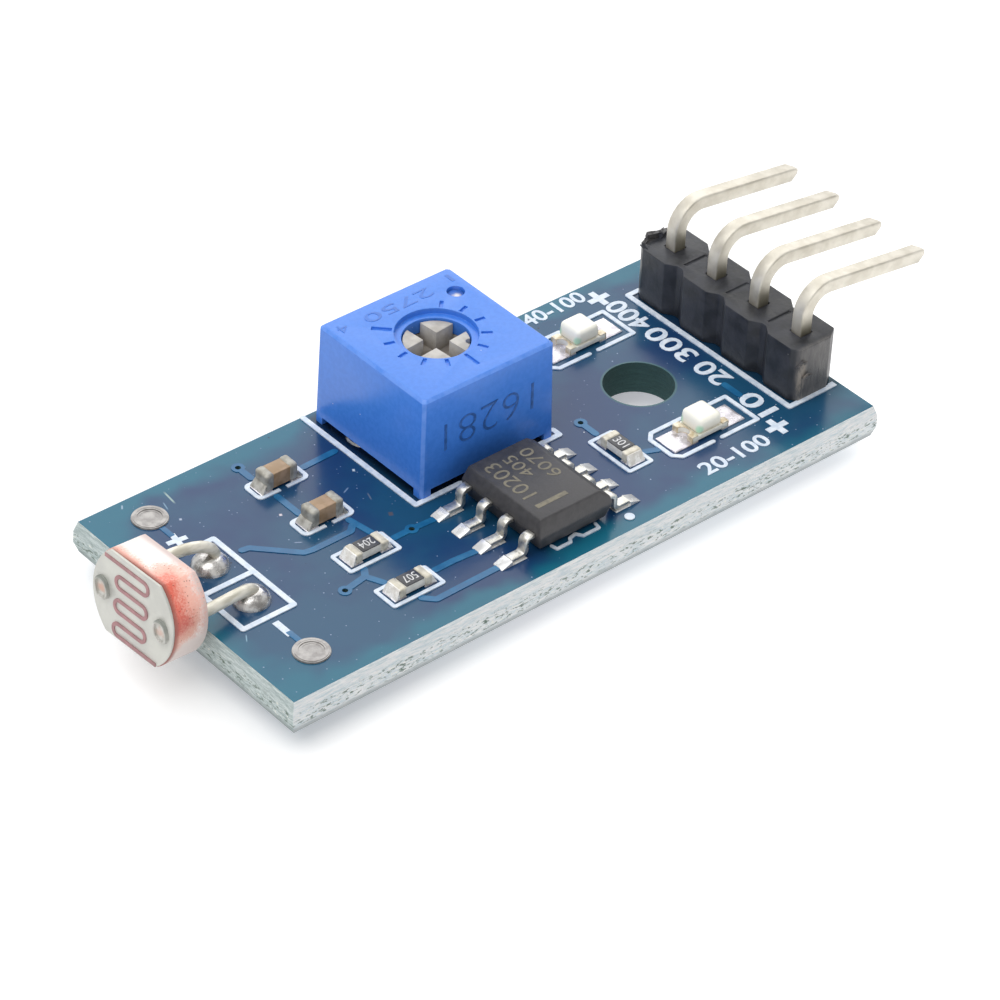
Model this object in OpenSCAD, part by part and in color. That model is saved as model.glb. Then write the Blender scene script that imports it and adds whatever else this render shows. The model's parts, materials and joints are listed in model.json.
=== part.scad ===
// Photoresistor light sensor module: a small circuit board that carries the
// photoresistor on bent leads, a trimmer, a comparator chip, passives, two
// indicator lamps and a bent four-pin header.
// The origin is on the mounting hole's axis at the board's underside.
// +X runs towards the header's pins, +Z up out of the component side.

/* [Circuit board] */
// Length of the board along X
board_len = 30; // [28:0.5:34]
// Thickness of the laminate
board_t = 1.5; // [1:0.1:2]
// Mounting hole diameter
hole_d = 3; // [2.6:0.1:3.2]
// Mounting hole's axis to the board's header end
hole_from_end = 6.6; // [6.4:0.1:8]
// Mounting hole's axis to the near long edge
hole_to_near = 7; // [6.8:0.05:8]
// Mounting hole's axis to the far long edge
hole_to_far = 6.65; // [6.5:0.05:8]
// Thickness of a silkscreen line or of a copper trace under the mask
print_t = 0.03; // [0.02:0.01:0.06]
// How far the snapped ridge of a scored edge stands out past the top face
score_out = 0.14; // [0.05:0.01:0.25]
// Depth of the score line on each face
score_depth = 0.45; // [0.3:0.05:0.6]
// Width of a thick silkscreen line
silk_w = 0.24; // [0.12:0.01:0.26]
// Width of a copper trace
trace_w = 0.3; // [0.2:0.05:0.4]
// Outer diameter of a via's copper ring
via_d = 0.56; // [0.5:0.02:0.7]
// Diameter of a via's drilled centre
via_hole_d = 0.24; // [0.2:0.02:0.3]
// Diameter of the round test pads
test_pad_d = 1.5; // [1.2:0.1:1.8]
// Distance of the test pads from the board's centre line
test_pad_y = 5.1; // [4.8:0.1:5.4]

/* [Photoresistor] */
// Diameter of the ceramic disc
cell_d = 4.82; // [4.4:0.02:5.2]
// Width of the disc across its two flats
cell_flats = 3.83; // [3.4:0.01:4.2]
// Thickness of the ceramic disc
cell_t = 1.6; // [1.3:0.02:2]
// Thickness of the metal film on the front
cell_film_t = 0.12; // [0.08:0.02:0.2]
// Height of the disc's middle over the board's top
cell_lift = 0.99; // [0.8:0.01:1.6]
// Gap from the board's end to the middle of the disc's back
cell_gap = 0.58; // [0.45:0.01:1.2]
// Backward lean of the disc in degrees
cell_lean = 5.4; // [0:0.2:10]
// Turn of the disc about the vertical in degrees
cell_turn = 2.8; // [0:0.2:8]
// Distance between the two leads in the disc
cell_lead_pitch = 3.4; // [3:0.1:3.6]
// Number of straight runs in the serpentine track
track_runs = 7; // [5:2:9]
// Spacing of the runs
track_pitch = 0.54; // [0.44:0.01:0.56]
// Width of the track line
track_w = 0.15; // [0.1:0.01:0.2]
// Height of the track and terminal relief
track_t = 0.04; // [0.02:0.01:0.08]
// Half length of a run between its turns
track_half = 0.65; // [0.5:0.05:0.85]
// How far the track's turns lie towards the far lead from the disc's middle
track_shift = 0.08; // [0:0.02:0.14]
// How far the track's middle run lies below the disc's middle
track_drop = 0.08; // [0:0.02:0.1]
// Width of an oval terminal
terminal_w = 0.85; // [0.6:0.05:0.9]
// Height of an oval terminal
terminal_h = 1.05; // [1:0.05:1.4]
// Diameter of a lead
lead_d = 0.48; // [0.4:0.02:0.6]
// Offset of a lead in its board hole, away from the disc
lead_shift = 0.14; // [0:0.02:0.2]
// How far the far lead's curve swings past its hole
far_lead_swing = 0.62; // [0.2:0.02:0.8]
// How far the far lead's curve is pulled up over its hole
far_lead_up = 1.36; // [0.9:0.02:1.6]
// How far the far lead's curve is pulled up behind the disc
far_lead_hump = 0.5; // [-0.4:0.02:0.7]
// How far the near lead's curve swings past its hole
near_lead_swing = 0.42; // [0.2:0.02:0.8]
// How far the near lead's curve is pulled up over its hole
near_lead_up = 0.9; // [0.8:0.02:1.6]
// How far the near lead's curve is pulled up behind the disc
near_lead_hump = -0.3; // [-0.4:0.02:0.7]
// Length of the pull behind the disc
lead_back = 1.25; // [0.9:0.05:1.5]
// Distance between the two leads in the board
lead_pitch = 2.6; // [2.54:0.02:3]
// Lead holes to the board's photoresistor end
lead_from_end = 2.4; // [2.2:0.1:3]

/* [Trimmer] */
// Trimmer housing along X, at its top
trimmer_x = 6.7; // [6.4:0.1:7]
// Trimmer housing along Y, at its top
trimmer_y = 6.6; // [6.3:0.1:6.7]
// Height of the housing with its feet
trimmer_h = 4.7; // [4.5:0.1:5.2]
// How much wider the housing is at its foot
trimmer_flare = 0.2; // [0:0.02:0.3]
// Chamfer of the housing's edges
trimmer_edge = 0.12; // [0.05:0.01:0.2]
// Height of the corner feet
foot_h = 0.35; // [0.2:0.05:0.5]
// Side of a square corner foot
foot_side = 0.5; // [0.4:0.05:1]
// Wall of the housing
trimmer_wall = 0.55; // [0.45:0.05:0.7]
// Thickness of the housing's top
trimmer_top_t = 0.9; // [0.8:0.05:1.2]
// Diameter of the rotor's opening in the top
rotor_hole_d = 2.8; // [2.6:0.1:3]
// Diameter of the shallow ring around the opening
dial_ring_d = 3.4; // [3.2:0.1:3.8]
// Depth of that ring
dial_ring_depth = 0.25; // [0.15:0.05:0.4]
// Number of dial marks
dial_marks = 11; // [7:1:11]
// Angle between dial marks in degrees
dial_step = 27; // [20:1:27]
// Diameter of the round moulding hole in the top
gate_d = 0.74; // [0.5:0.02:0.9]

/* [Rotor] */
// Radial running clearance of the rotor in its opening
rotor_clear = 0.05; // [0.03:0.01:0.1]
// How far the rotor's face lies below the housing's top
rotor_sink = 0.35; // [0.3:0.05:0.45]
// Diameter of the rotor's flange inside the housing
rotor_flange_d = 4.2; // [3.8:0.1:4.6]
// Thickness of that flange
rotor_flange_t = 0.7; // [0.5:0.05:0.9]
// Width of the driver cross
cross_w = 0.72; // [0.5:0.02:0.9]
// Depth of the driver cross
cross_depth = 0.95; // [0.6:0.05:1.1]
// Angle of the cross as photographed in degrees
rotor_turn = 5; // [0:1:40]

/* [Chip] */
// Chip body along X, across the leads
chip_x = 3.8; // [3.7:0.05:4]
// Chip body along Y
chip_y = 4.8; // [4.7:0.05:5]
// Height of the chip's top over the board
chip_h = 1.6; // [1.35:0.05:1.75]
// Slope of the chip's sides, measured across one half of its height
chip_draft = 0.2; // [0.1:0.01:0.25]
// Bevel along the top edge on the first lead's side
chip_bevel = 0.4; // [0.2:0.05:0.5]
// Gap below the chip body
chip_standoff = 0.15; // [0.1:0.05:0.25]
// Chip lead pitch
chip_pitch = 1.27; // [1.2:0.01:1.3]
// Number of leads on each side
chip_side_leads = 4; // [3:1:4]
// Span over the chip's lead tips
chip_span = 6.1; // [5.8:0.1:6.2]
// Width of a chip lead
chip_lead_w = 0.42; // [0.33:0.01:0.5]
// Thickness of a chip lead
chip_lead_t = 0.2; // [0.17:0.01:0.25]

/* [Passives and lamps] */
// Length of a resistor or capacitor
passive_len = 1.6; // [1.5:0.05:1.7]
// Width of a resistor or capacitor
passive_w = 0.8; // [0.7:0.05:0.9]
// Height of a capacitor
capacitor_h = 0.8; // [0.6:0.05:0.9]
// Height of a resistor
resistor_h = 0.45; // [0.35:0.05:0.55]
// Length of a capacitor's end cap
capacitor_cap_len = 0.42; // [0.3:0.01:0.5]
// Length of a resistor's end cap
resistor_cap_len = 0.34; // [0.25:0.01:0.4]
// Length of a lamp
lamp_len = 2; // [1.9:0.05:2.1]
// Width of a lamp
lamp_w = 1.2; // [1.1:0.05:1.35]
// Height of a lamp
lamp_h = 0.95; // [0.8:0.05:1.1]
// Thickness of a lamp's base
lamp_base_t = 0.32; // [0.25:0.01:0.4]
// Length of a lamp's clear lens
lens_len = 1.36; // [1.1:0.02:1.5]

/* [Header] */
// Header pitch
header_pitch = 2.54; // [2.5:0.01:2.54]
// Number of pins
header_ways = 4; // [3:1:4]
// Width of the header block along X
header_w = 2.45; // [2.2:0.05:2.54]
// Height of the header block
header_h = 2.55; // [2.3:0.05:2.8]
// Header row to the board's header end
header_from_end = 1.32; // [1.3:0.02:2]
// Depth of the notch between two ways
notch_depth = 0.32; // [0.2:0.02:0.45]
// Depth of the notch at the two snapped ends, on the pins' side
snap_depth = 0.66; // [0.2:0.02:0.8]
// How much of the web is lost at each snapped end
snap_loss = 0.2; // [0.05:0.01:0.3]
// Flat length left on each way
way_flat = 1.35; // [1.2:0.05:1.6]
// Side of a square pin
pin_side = 0.62; // [0.6:0.01:0.66]
// Height of a pin's axis over the header block after the bend
pin_rise = 1.85; // [1.6:0.05:2.4]
// Radius of the bend at the pin's axis
pin_bend = 1.1; // [0.9:0.05:1.4]
// Reach of the pins past the header row
pin_reach = 6.85; // [6:0.05:8]
// Droop of the pins below the level in degrees
pin_droop = 8; // [0:0.5:12]
// Taper length of the pin's point
pin_point = 0.5; // [0.3:0.05:0.8]

/* [Solder] */
// How far leads, pins and solder reach below the board
solder_drop = 0.9; // [0.7:0.05:1.2]
// Height of a solder fillet on the component side
solder_rise = 0.5; // [0.35:0.05:0.7]
// Diameter of a through-hole pad
pad_d = 1.56; // [1.4:0.02:1.7]
// Diameter of the drilled holes for leads
lead_hole_d = 0.9; // [0.85:0.05:1]
// Diameter of the drilled holes for header pins
pin_hole_d = 1; // [0.96:0.02:1.1]
// Thickness of the solder under a surface-mounted end
pad_t = 0.05; // [0.04:0.01:0.08]

/* [Hidden] */
$fn = 32;

// Places, all measured from the mounting hole
board_x0 = hole_from_end - board_len;
lead_row_x = board_x0 + lead_from_end;
lead_frame_x = lead_row_x + 1.1;
header_row_x = hole_from_end - header_from_end;
trimmer_at = [-8.55, 2.85];
chip_at = [-8.73, -3.68];
passive_column_x = -15.75;
first_capacitor_at = [passive_column_x, 3.9];
second_capacitor_at = [passive_column_x, 1];
first_resistor_at = [passive_column_x, -1.76];
second_resistor_at = [passive_column_x, -4.42];
third_resistor_at = [-3.65, -2.98];
far_lamp_at = [0, 3.75];
near_lamp_at = [-0.09, -3.82];
near_lamp_frame_at = [0, -3.8];
passive_frame = [2.6, 1.34];
capacitor_frame = [2.56, 1.16];
lamp_frame = [4.4, 1.94];

// Small clearances and steps that belong to no single piece
fit = 0.02;
silk_t = print_t + 0.02;
cut = 0.5;
part_z = board_t + pad_t;

module place(at, turn = 0) translate([at[0], at[1], 0]) rotate(turn) children();

// A block standing on z = 0, centred in x and y
module block(x, y, z) translate([-x / 2, -y / 2, 0]) cube([x, y, z]);

// A line of round-ended strokes through a list of points
module stroke(points, w) {
  for (p = points) translate(p) circle(d = w, $fn = 8);
  for (i = [1 : len(points) - 1]) {
    step = points[i] - points[i - 1];
    translate(points[i - 1]) rotate(atan2(step[1], step[0]))
      translate([0, -w / 2]) square([norm(step), w]);
  }
}

// The outline of a rectangle drawn as a line of width w inside its edge
module outline(size, w) {
  difference() {
    square(size, center = true);
    square([size[0] - 2 * w, size[1] - 2 * w], center = true);
  }
}

// A rectangle with four round corners
module round_square(size, r) {
  square([size[0] - 2 * r, size[1]], center = true);
  square([size[0], size[1] - 2 * r], center = true);
  for (sx = [-1, 1], sy = [-1, 1])
    translate([sx * (size[0] / 2 - r), sy * (size[1] / 2 - r)]) circle(r = r, $fn = 12);
}

// Header ways and trimmer pins, by their places
function way_y(i) = ((header_ways - 1) / 2 - i) * header_pitch;
trimmer_pin_pitch = 2.54;
trimmer_pin_d = 0.5;
trimmer_pins_at = [for (i = [-1 : 1]) [i * trimmer_pin_pitch, (abs(i) - 0.5) * trimmer_pin_pitch]];

// One direction of the board: a bar whose two long edges were scored from both faces and
// snapped, which leaves a ridge between two slopes. from and to are the top face's edges.
module scored_bar(from, to, length) {
  ridge_top = board_t - score_depth;
  translate([0, length / 2, 0]) rotate([90, 0, 0]) linear_extrude(length) polygon([
    [from, 0], [to, 0], [to + score_out, score_depth], [to + score_out, ridge_top], [to, board_t],
    [from, board_t], [from - score_out, ridge_top], [from - score_out, score_depth]]);
}

// Circuit board with its mounting hole and the drilled holes for leads and pins
module circuit_board() {
  reach = 2 * (board_len + hole_to_near + hole_to_far);
  color("navy") difference() {
    intersection() {
      scored_bar(board_x0, hole_from_end, reach);
      rotate(90) scored_bar(-hole_to_near, hole_to_far, reach);
    }
    translate([0, 0, -cut]) cylinder(d = hole_d, h = board_t + 2 * cut);
    for (side = [-1, 1]) drill([lead_row_x, side * lead_pitch / 2], lead_hole_d);
    for (i = [0 : header_ways - 1]) drill([header_row_x, way_y(i)], pin_hole_d);
    for (p = trimmer_pins_at) drill(trimmer_at + p, lead_hole_d);
    for (p = via_places) drill(p, via_hole_d);
  }
}

module drill(at, d) translate([at[0], at[1], -cut]) cylinder(d = d, h = board_t + 2 * cut, $fn = 16);

// Vias and the traces between pieces, as the lighter lines under the mask
via_places = [[-16.4, 5.55], [-17.84, -3.07], [-13.42, -1.7], [-3.65, -0.55]];
toe_x = chip_at[0] - chip_span / 2 - 0.3;
function chip_lead_y(i) = chip_at[1] + ((chip_side_leads - 1) / 2 - i) * chip_pitch;
trace_routes = [
  [[lead_frame_x + silk_w + 0.2, lead_pitch / 2], [lead_frame_x + 0.75, lead_pitch / 2 - 0.05],
   [lead_frame_x + 2.25, -0.28], [lead_frame_x + 2.65, -0.36], [passive_column_x + 0.35, -0.36],
   [passive_column_x + 0.65, -0.1]],
  [via_places[0], first_capacitor_at + [-0.65, 0.8]],
  [first_capacitor_at + [-0.55, -0.75], first_capacitor_at + [-0.55, -1.2],
   second_capacitor_at + [-0.55, 0.75]],
  [second_capacitor_at + [0.75, -0.75], first_resistor_at + [0.95, 0.8]],
  [first_resistor_at + [1.4, 0.05], via_places[2], [toe_x, chip_lead_y(0)]],
  [via_places[1], [-16.7, -2.88], first_resistor_at + [-0.7, -0.75]],
  [[-16.7, -2.88], second_resistor_at + [-0.6, 0.8]],
  [second_resistor_at + [1.4, 0.2], [-13.4, chip_lead_y(2) + 0.1],
   [toe_x, chip_lead_y(2)]],
  [second_resistor_at + [-0.05, -0.8], [-15.4, chip_lead_y(3) - 0.04], [toe_x, chip_lead_y(3)]],
  [first_capacitor_at + [1.4, 0.1], [-12.7, 4.05]],
  [via_places[3], third_resistor_at + [0, 1.5]],
  [third_resistor_at + [0.8, -0.6], near_lamp_frame_at - [lamp_frame[0] / 2 + 0.15, 0]],
  [[2.75, -2.2], [2.75, -3.1]]
];

module trace_lines() {
  for (route = trace_routes) stroke(route, trace_w);
  for (p = via_places) translate(p) circle(d = via_d, $fn = 16);
}

module copper_traces() {
  color("steelblue") translate([0, 0, board_t]) difference() {
    linear_extrude(print_t) trace_lines();
    for (p = via_places) translate([p[0], p[1], -cut]) cylinder(d = via_hole_d, h = 2 * cut, $fn = 16);
  }
}

// Silkscreen frames, ticks and signs, without the numbers
module silkscreen() {
  color("aliceblue") translate([0, 0, board_t]) difference() {
    linear_extrude(silk_t) {
      lead_frame();
      trimmer_frame();
      header_frame();
      for (at = [first_capacitor_at, second_capacitor_at]) place(at) capacitor_frame_lines();
      for (at = [first_resistor_at, second_resistor_at]) place(at) outline(passive_frame, silk_w * 0.7);
      place(third_resistor_at, 90) outline(passive_frame, silk_w * 0.7);
      for (at = [far_lamp_at, near_lamp_frame_at]) place(at) lamp_frame_lines();
      chip_marks();
    }
    translate([0, 0, -cut]) linear_extrude(print_t + cut) trace_lines();
  }
}

// Frame of the two photoresistor holes, with the bar between them
module lead_frame() {
  frame_x = [lead_row_x - 1.33, lead_frame_x];
  half_y = lead_pitch / 2 + 1.24;
  stroke([[frame_x[0], -half_y], [frame_x[1], -half_y], [frame_x[1], half_y], [frame_x[0], half_y],
          [frame_x[0], -half_y]], silk_w);
  stroke([[frame_x[0], 0], [frame_x[1], 0]], silk_w);
}

// The trimmer stands a little off the middle of its frame, whose near side the chip interrupts
module trimmer_frame() {
  near_y = -trimmer_y / 2 - 0.18;
  far_y = trimmer_y / 2 + 0.42;
  left_x = -trimmer_x / 2 - 0.43;
  right_x = trimmer_x / 2 + 0.35;
  place(trimmer_at) {
    stroke([[left_x, far_y], [left_x, near_y], [left_x / 2 + 0.4, near_y]], silk_w);
    stroke([[right_x - 1.1, near_y], [right_x, near_y], [right_x, near_y + 0.4]], silk_w);
  }
}

// The header stands over most of its frame, so its own footprint is left bare
module header_frame() {
  strip = header_ways * header_pitch;
  translate([header_row_x, 0]) difference() {
    translate([-silk_w, 0]) outline([header_w + silk_w, strip - fit], silk_w);
    square([header_w + 2 * fit, strip - 0.6], center = true);
    header_outline();
  }
}

module capacitor_frame_lines() {
  difference() {
    round_square(capacitor_frame, 0.25);
    round_square([capacitor_frame[0] - 1.4 * silk_w, capacitor_frame[1] - 1.4 * silk_w], 0.18);
    translate([-0.03, -capacitor_frame[1] / 2]) square([0.34, 0.6], center = true);
    translate([0.1, capacitor_frame[1] / 2]) square([0.34, 0.6], center = true);
  }
}

// The lamp's frame has two cut corners at one end and a gap on each long side
module lamp_frame_lines() {
  half = lamp_frame / 2;
  corner = 0.32;
  gap = 0.24;
  for (side = [-1, 1]) {
    stroke([[gap, side * half[1]], [half[0], side * half[1]], [half[0], 0]], silk_w * 0.8);
    stroke([[-gap, side * half[1]], [corner - half[0], side * half[1]],
            [-half[0], side * (half[1] - corner)], [-half[0], 0]], silk_w * 0.8);
  }
}

// Chip outline with the round notch of its first end, the first lead's dot and a speck
module chip_marks() {
  line_w = 0.6 * silk_w;
  end_y = -chip_y / 2 - 0.06;
  side_x = chip_x / 2 + 0.1;
  lead_half = (chip_side_leads - 1) / 2;
  place(chip_at) {
    stroke([[-1.07, end_y + 0.28], [-1.02, end_y], [-0.33, end_y], [-0.2, end_y + 0.2],
            [0.15, end_y + 0.28], [0.33, end_y], [1.14, end_y], [1.2, end_y + 0.28]], line_w);
    translate([side_x + 0.56, -chip_y / 2 - 0.27]) circle(d = 1.75 * silk_w, $fn = 20);
    translate([side_x + 0.53, chip_y / 2 - 0.02]) circle(d = 0.65 * silk_w, $fn = 12);
    for (i = [0 : chip_side_leads - 2]) translate([side_x, (lead_half - i - 0.5) * chip_pitch])
      square([line_w, 0.4 * chip_pitch], center = true);
  }
}

// Two round soldered test pads beside the photoresistor
module test_pads() {
  color("silver") for (side = [-1, 1])
    translate([lead_row_x - 0.07, side * test_pad_y, board_t]) {
      cylinder(d = test_pad_d, h = silk_t, $fn = 24);
      translate([0, 0, silk_t])
        cylinder(d1 = test_pad_d * 0.94, d2 = test_pad_d * 0.6, h = silk_t, $fn = 24);
    }
}

// The photoresistor stands on edge past the board's end, its face away from the board.
// In its own frame x runs across the two leads, y up and z out of the face; z = 0 is its back.
// The film ends a little inside the disc's rim.
film_inset = 0.04;
cell_origin = [board_x0 - cell_gap, 0, board_t + cell_lift];

module cell_frame() {
  translate(cell_origin) rotate([0, cell_lean, cell_turn]) rotate([90, 0, -90]) children();
}

// A point of the disc's own frame in the module's frame
function lean(p) = [p[0] * cos(cell_lean) + p[2] * sin(cell_lean), p[1],
                    p[2] * cos(cell_lean) - p[0] * sin(cell_lean)];
function turn(p) = [p[0] * cos(cell_turn) - p[1] * sin(cell_turn),
                    p[0] * sin(cell_turn) + p[1] * cos(cell_turn), p[2]];
function from_cell(p) = cell_origin + turn(lean([-p[2], -p[0], p[1]]));

module cell_outline(shrink = 0) {
  intersection() {
    circle(d = cell_d - 2 * shrink);
    square([cell_d, cell_flats - 2 * shrink], center = true);
  }
}

module photoresistor_disc() {
  color("mistyrose") cell_frame() difference() {
    linear_extrude(cell_t) cell_outline();
    for (side = [-1, 1]) translate([side * cell_lead_pitch / 2, 0, -cut])
      cylinder(d = lead_d + 2 * fit, h = cell_t + 2 * cut, $fn = 20);
  }
}

module photoresistor_film() {
  color("lightgray") cell_frame() translate([0, 0, cell_t]) difference() {
    linear_extrude(cell_film_t) cell_outline(film_inset);
    for (side = [-1, 1]) translate([side * cell_lead_pitch / 2, 0, -cut])
      cylinder(d = lead_d + 2 * fit, h = 2 * cut, $fn = 20);
  }
}

// One continuous line: the runs are joined by half rings at alternate ends, and its two
// ends stop a little short of the film's rim
track_end_gap = 0.02;

module track_outline() {
  half_count = (track_runs - 1) / 2;
  for (i = [0 : track_runs - 1]) {
    y = (half_count - i) * track_pitch - track_drop;
    rim = sqrt(pow(cell_d / 2 - film_inset, 2) - pow(abs(y) + track_w / 2, 2)) - track_end_gap;
    left = i == 0 ? -rim : -track_half - track_shift;
    right = i == track_runs - 1 ? rim : track_half - track_shift;
    side = i % 2 == 0 ? 1 : -1;
    translate([left, y - track_w / 2]) square([right - left, track_w]);
    if (i < track_runs - 1)
      translate([side * track_half - track_shift, y - track_pitch / 2]) half_ring(side);
  }
}

module half_ring(side) {
  intersection() {
    difference() {
      circle(d = track_pitch + track_w, $fn = 16);
      circle(d = track_pitch - track_w, $fn = 16);
    }
    translate([side > 0 ? 0 : -track_pitch, -track_pitch]) square([track_pitch, 2 * track_pitch]);
  }
}

module photoresistor_track() {
  color("rosybrown") cell_frame() translate([0, 0, cell_t + cell_film_t])
    linear_extrude(track_t) track_outline();
}

module oval(w, h) {
  translate([0, (h - w) / 2]) circle(d = w, $fn = 16);
  translate([0, -(h - w) / 2]) circle(d = w, $fn = 16);
  square([w, h - w], center = true);
}

// Oval lead heads on the film, each with a shallow ring round its middle
module photoresistor_terminals() {
  color("gainsboro") cell_frame() for (side = [-1, 1])
    translate([side * cell_lead_pitch / 2, 0, cell_t + cell_film_t]) difference() {
      linear_extrude(2 * track_t) oval(terminal_w, terminal_h);
      translate([0, 0, track_t]) linear_extrude(2 * track_t)
        oval(terminal_w - 0.3, terminal_h - 0.3);
      translate([0, 0, -cut]) cylinder(d = lead_d + 2 * fit, h = 2 * cut, $fn = 20);
    }
}

// A bent wire drawn as rings of points along a path, closed by a flat face at each end
wire_sides = 16;

function unit(v) = v / norm(v);
function wire_way(path, i) = unit(path[min(i + 1, len(path) - 1)] - path[max(i - 1, 0)]);
function wire_ring(middle, way, r) =
  let (u = unit(cross(way, [0, 1, 0])), v = cross(way, u))
  [for (k = [0 : wire_sides - 1]) let (a = 360 * k / wire_sides) middle + r * (cos(a) * u + sin(a) * v)];

module wire(path, d) {
  last = len(path) - 1;
  rings = [for (i = [0 : last]) each wire_ring(path[i], wire_way(path, i), d / 2)];
  walls = [for (i = [0 : last - 1], k = [0 : wire_sides - 1])
    let (a = i * wire_sides + k, b = i * wire_sides + (k + 1) % wire_sides)
    each [[a, b + wire_sides, b], [a, a + wire_sides, b + wire_sides]]];
  ends = [[for (k = [0 : wire_sides - 1]) k],
          [for (k = [wire_sides - 1 : -1 : 0]) last * wire_sides + k]];
  polyhedron(points = rings, faces = concat(ends, walls));
}

// A lead rises from its board hole, swings over in one curve to the back of the disc and
// goes through it to its oval head. side is 1 for the far lead, -1 for the near one.
lead_behind = 0.08;
curve_steps = 12;
lead_stand_x = lead_row_x + lead_shift;

function curve_point(a, b, c, d, t) =
  pow(1 - t, 3) * a + 3 * pow(1 - t, 2) * t * b + 3 * (1 - t) * pow(t, 2) * c + pow(t, 3) * d;

function cell_lead_path(side, swing, up, hump) = let (
  hole_at = -side * cell_lead_pitch / 2,
  start = [lead_stand_x, side * lead_pitch / 2, board_t],
  finish = from_cell([hole_at, 0, -lead_behind]),
  way = unit([start[0] - finish[0], start[1] - finish[1]]))
  concat(
    [[start[0], start[1], -solder_drop]],
    [for (i = [0 : curve_steps]) curve_point(start,
      start + [way[0] * swing, way[1] * swing, up],
      finish + [way[0] * lead_back, way[1] * lead_back, hump], finish, i / curve_steps)],
    [from_cell([hole_at, 0, 0]), from_cell([hole_at, 0, cell_t + cell_film_t + track_t])]);

module far_wire() wire(cell_lead_path(1, far_lead_swing, far_lead_up, far_lead_hump), lead_d);
module near_wire() wire(cell_lead_path(-1, near_lead_swing, near_lead_up, near_lead_hump), lead_d);

module photoresistor_far_lead() { color("tan") far_wire(); }
module photoresistor_near_lead() { color("tan") near_wire(); }

// Solder in one plated hole: a barrel through the board, a round mound on the component
// side, where rise is over 0, and a hollow-sided cone below
cone_steps = 3;
mound_end = 62;

function cone_side(r0, r1, h) = [for (i = [0 : cone_steps])
  let (a = 90 * i / cone_steps) [r0 - (r0 - r1) * sin(a), -h * (1 - cos(a))]];

function mound_side(r, h) = [for (i = [cone_steps : -1 : 0])
  let (a = mound_end * i / cone_steps) [r * cos(a), board_t + h * sin(a) / sin(mound_end)]];

module solder_joint(hole, tip_r, rise) {
  below = cone_side(pad_d / 2, tip_r, solder_drop * 0.85);
  above = rise > 0 ? mound_side(pad_d / 2, rise) : [];
  rotate_extrude($fn = 16) polygon(concat(
    [[0, board_t + rise]], above, [[hole / 2, board_t], [hole / 2, 0]], below,
    [[0, -solder_drop * 0.85]]));
}

module far_lead_solder() {
  color("silver") difference() {
    translate([lead_row_x, lead_pitch / 2, 0]) solder_joint(lead_hole_d, lead_tip_r, solder_rise);
    far_wire();
  }
}

module near_lead_solder() {
  color("silver") difference() {
    translate([lead_row_x, -lead_pitch / 2, 0]) solder_joint(lead_hole_d, lead_tip_r, solder_rise);
    near_wire();
  }
}

lead_tip_r = lead_d / 2 + lead_shift + 0.04;

// Trimmer, drawn from its middle on the board's top
ceiling_z = trimmer_h - trimmer_top_t;
element_t = 0.8;
element_z = foot_h + element_t;
inside = [trimmer_x - 2 * trimmer_wall, trimmer_y - 2 * trimmer_wall];
mark_inner_r = dial_ring_d / 2 + 0.08;
mark_short = 0.45;
mark_long = 0.82;
mark_w = 0.15;
mark_depth = 0.1;
rotor_lift = 0.05;
wiper_r = 1.55;
wiper_t = 0.12;
wiper_gap = 0.05;
resist_t = 0.05;
wiper_drop = 0.45;

module trimmer_place() translate([trimmer_at[0], trimmer_at[1], board_t]) children();

module dial_mark(i) {
  middle = (dial_marks - 1) / 2;
  last = dial_marks - 1;
  reach = (i == middle || i == last) ? mark_long : mark_short;
  w = i == last ? 1.5 * mark_w : mark_w;
  rotate(-90 + (middle - i) * dial_step) translate([mark_inner_r, -w / 2, trimmer_h - mark_depth])
    cube([reach, w, mark_depth + cut]);
}

// Outline of the housing with its four upright edges chamfered
module housing_outline() {
  x = trimmer_x / 2;
  y = trimmer_y / 2;
  e = trimmer_edge;
  polygon([[x, e - y], [x, y - e], [x - e, y], [e - x, y],
           [-x, y - e], [-x, e - y], [e - x, -y], [x - e, -y]]);
}

// The sides lean in towards the top, and the top's edges are chamfered too
module housing_solid() {
  side_h = trimmer_h - trimmer_edge;
  flare = trimmer_flare / trimmer_x;
  mirror([0, 0, 1]) translate([0, 0, -side_h]) linear_extrude(side_h, scale = 1 + flare) housing_outline();
  translate([0, 0, side_h]) linear_extrude(trimmer_edge, scale = 1 - 2 * trimmer_edge / trimmer_x)
    housing_outline();
}

// Moulded shell, open below, standing on four corner feet
module trimmer_housing() {
  gap_x = trimmer_x - 2 * foot_side + trimmer_flare;
  gap_y = trimmer_y - 2 * foot_side + trimmer_flare;
  color("royalblue") trimmer_place() difference() {
    housing_solid();
    translate([0, 0, -cut]) block(gap_x, 2 * trimmer_y, foot_h + cut);
    translate([0, 0, -cut]) block(2 * trimmer_x, gap_y, foot_h + cut);
    translate([0, 0, -cut]) block(inside[0], inside[1], ceiling_z + cut);
    cylinder(d = rotor_hole_d, h = trimmer_h + cut);
    translate([0, 0, trimmer_h - dial_ring_depth]) cylinder(d = dial_ring_d, h = cut);
    translate([trimmer_x / 2 - 0.9, trimmer_y / 2 - 1.55, trimmer_h - trimmer_top_t * 0.7])
      cylinder(d = gate_d, h = trimmer_top_t, $fn = 24);
    for (i = [0 : dial_marks - 1]) dial_mark(i);
  }
}

module rotor_place() trimmer_place() rotate(rotor_turn) children();

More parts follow.
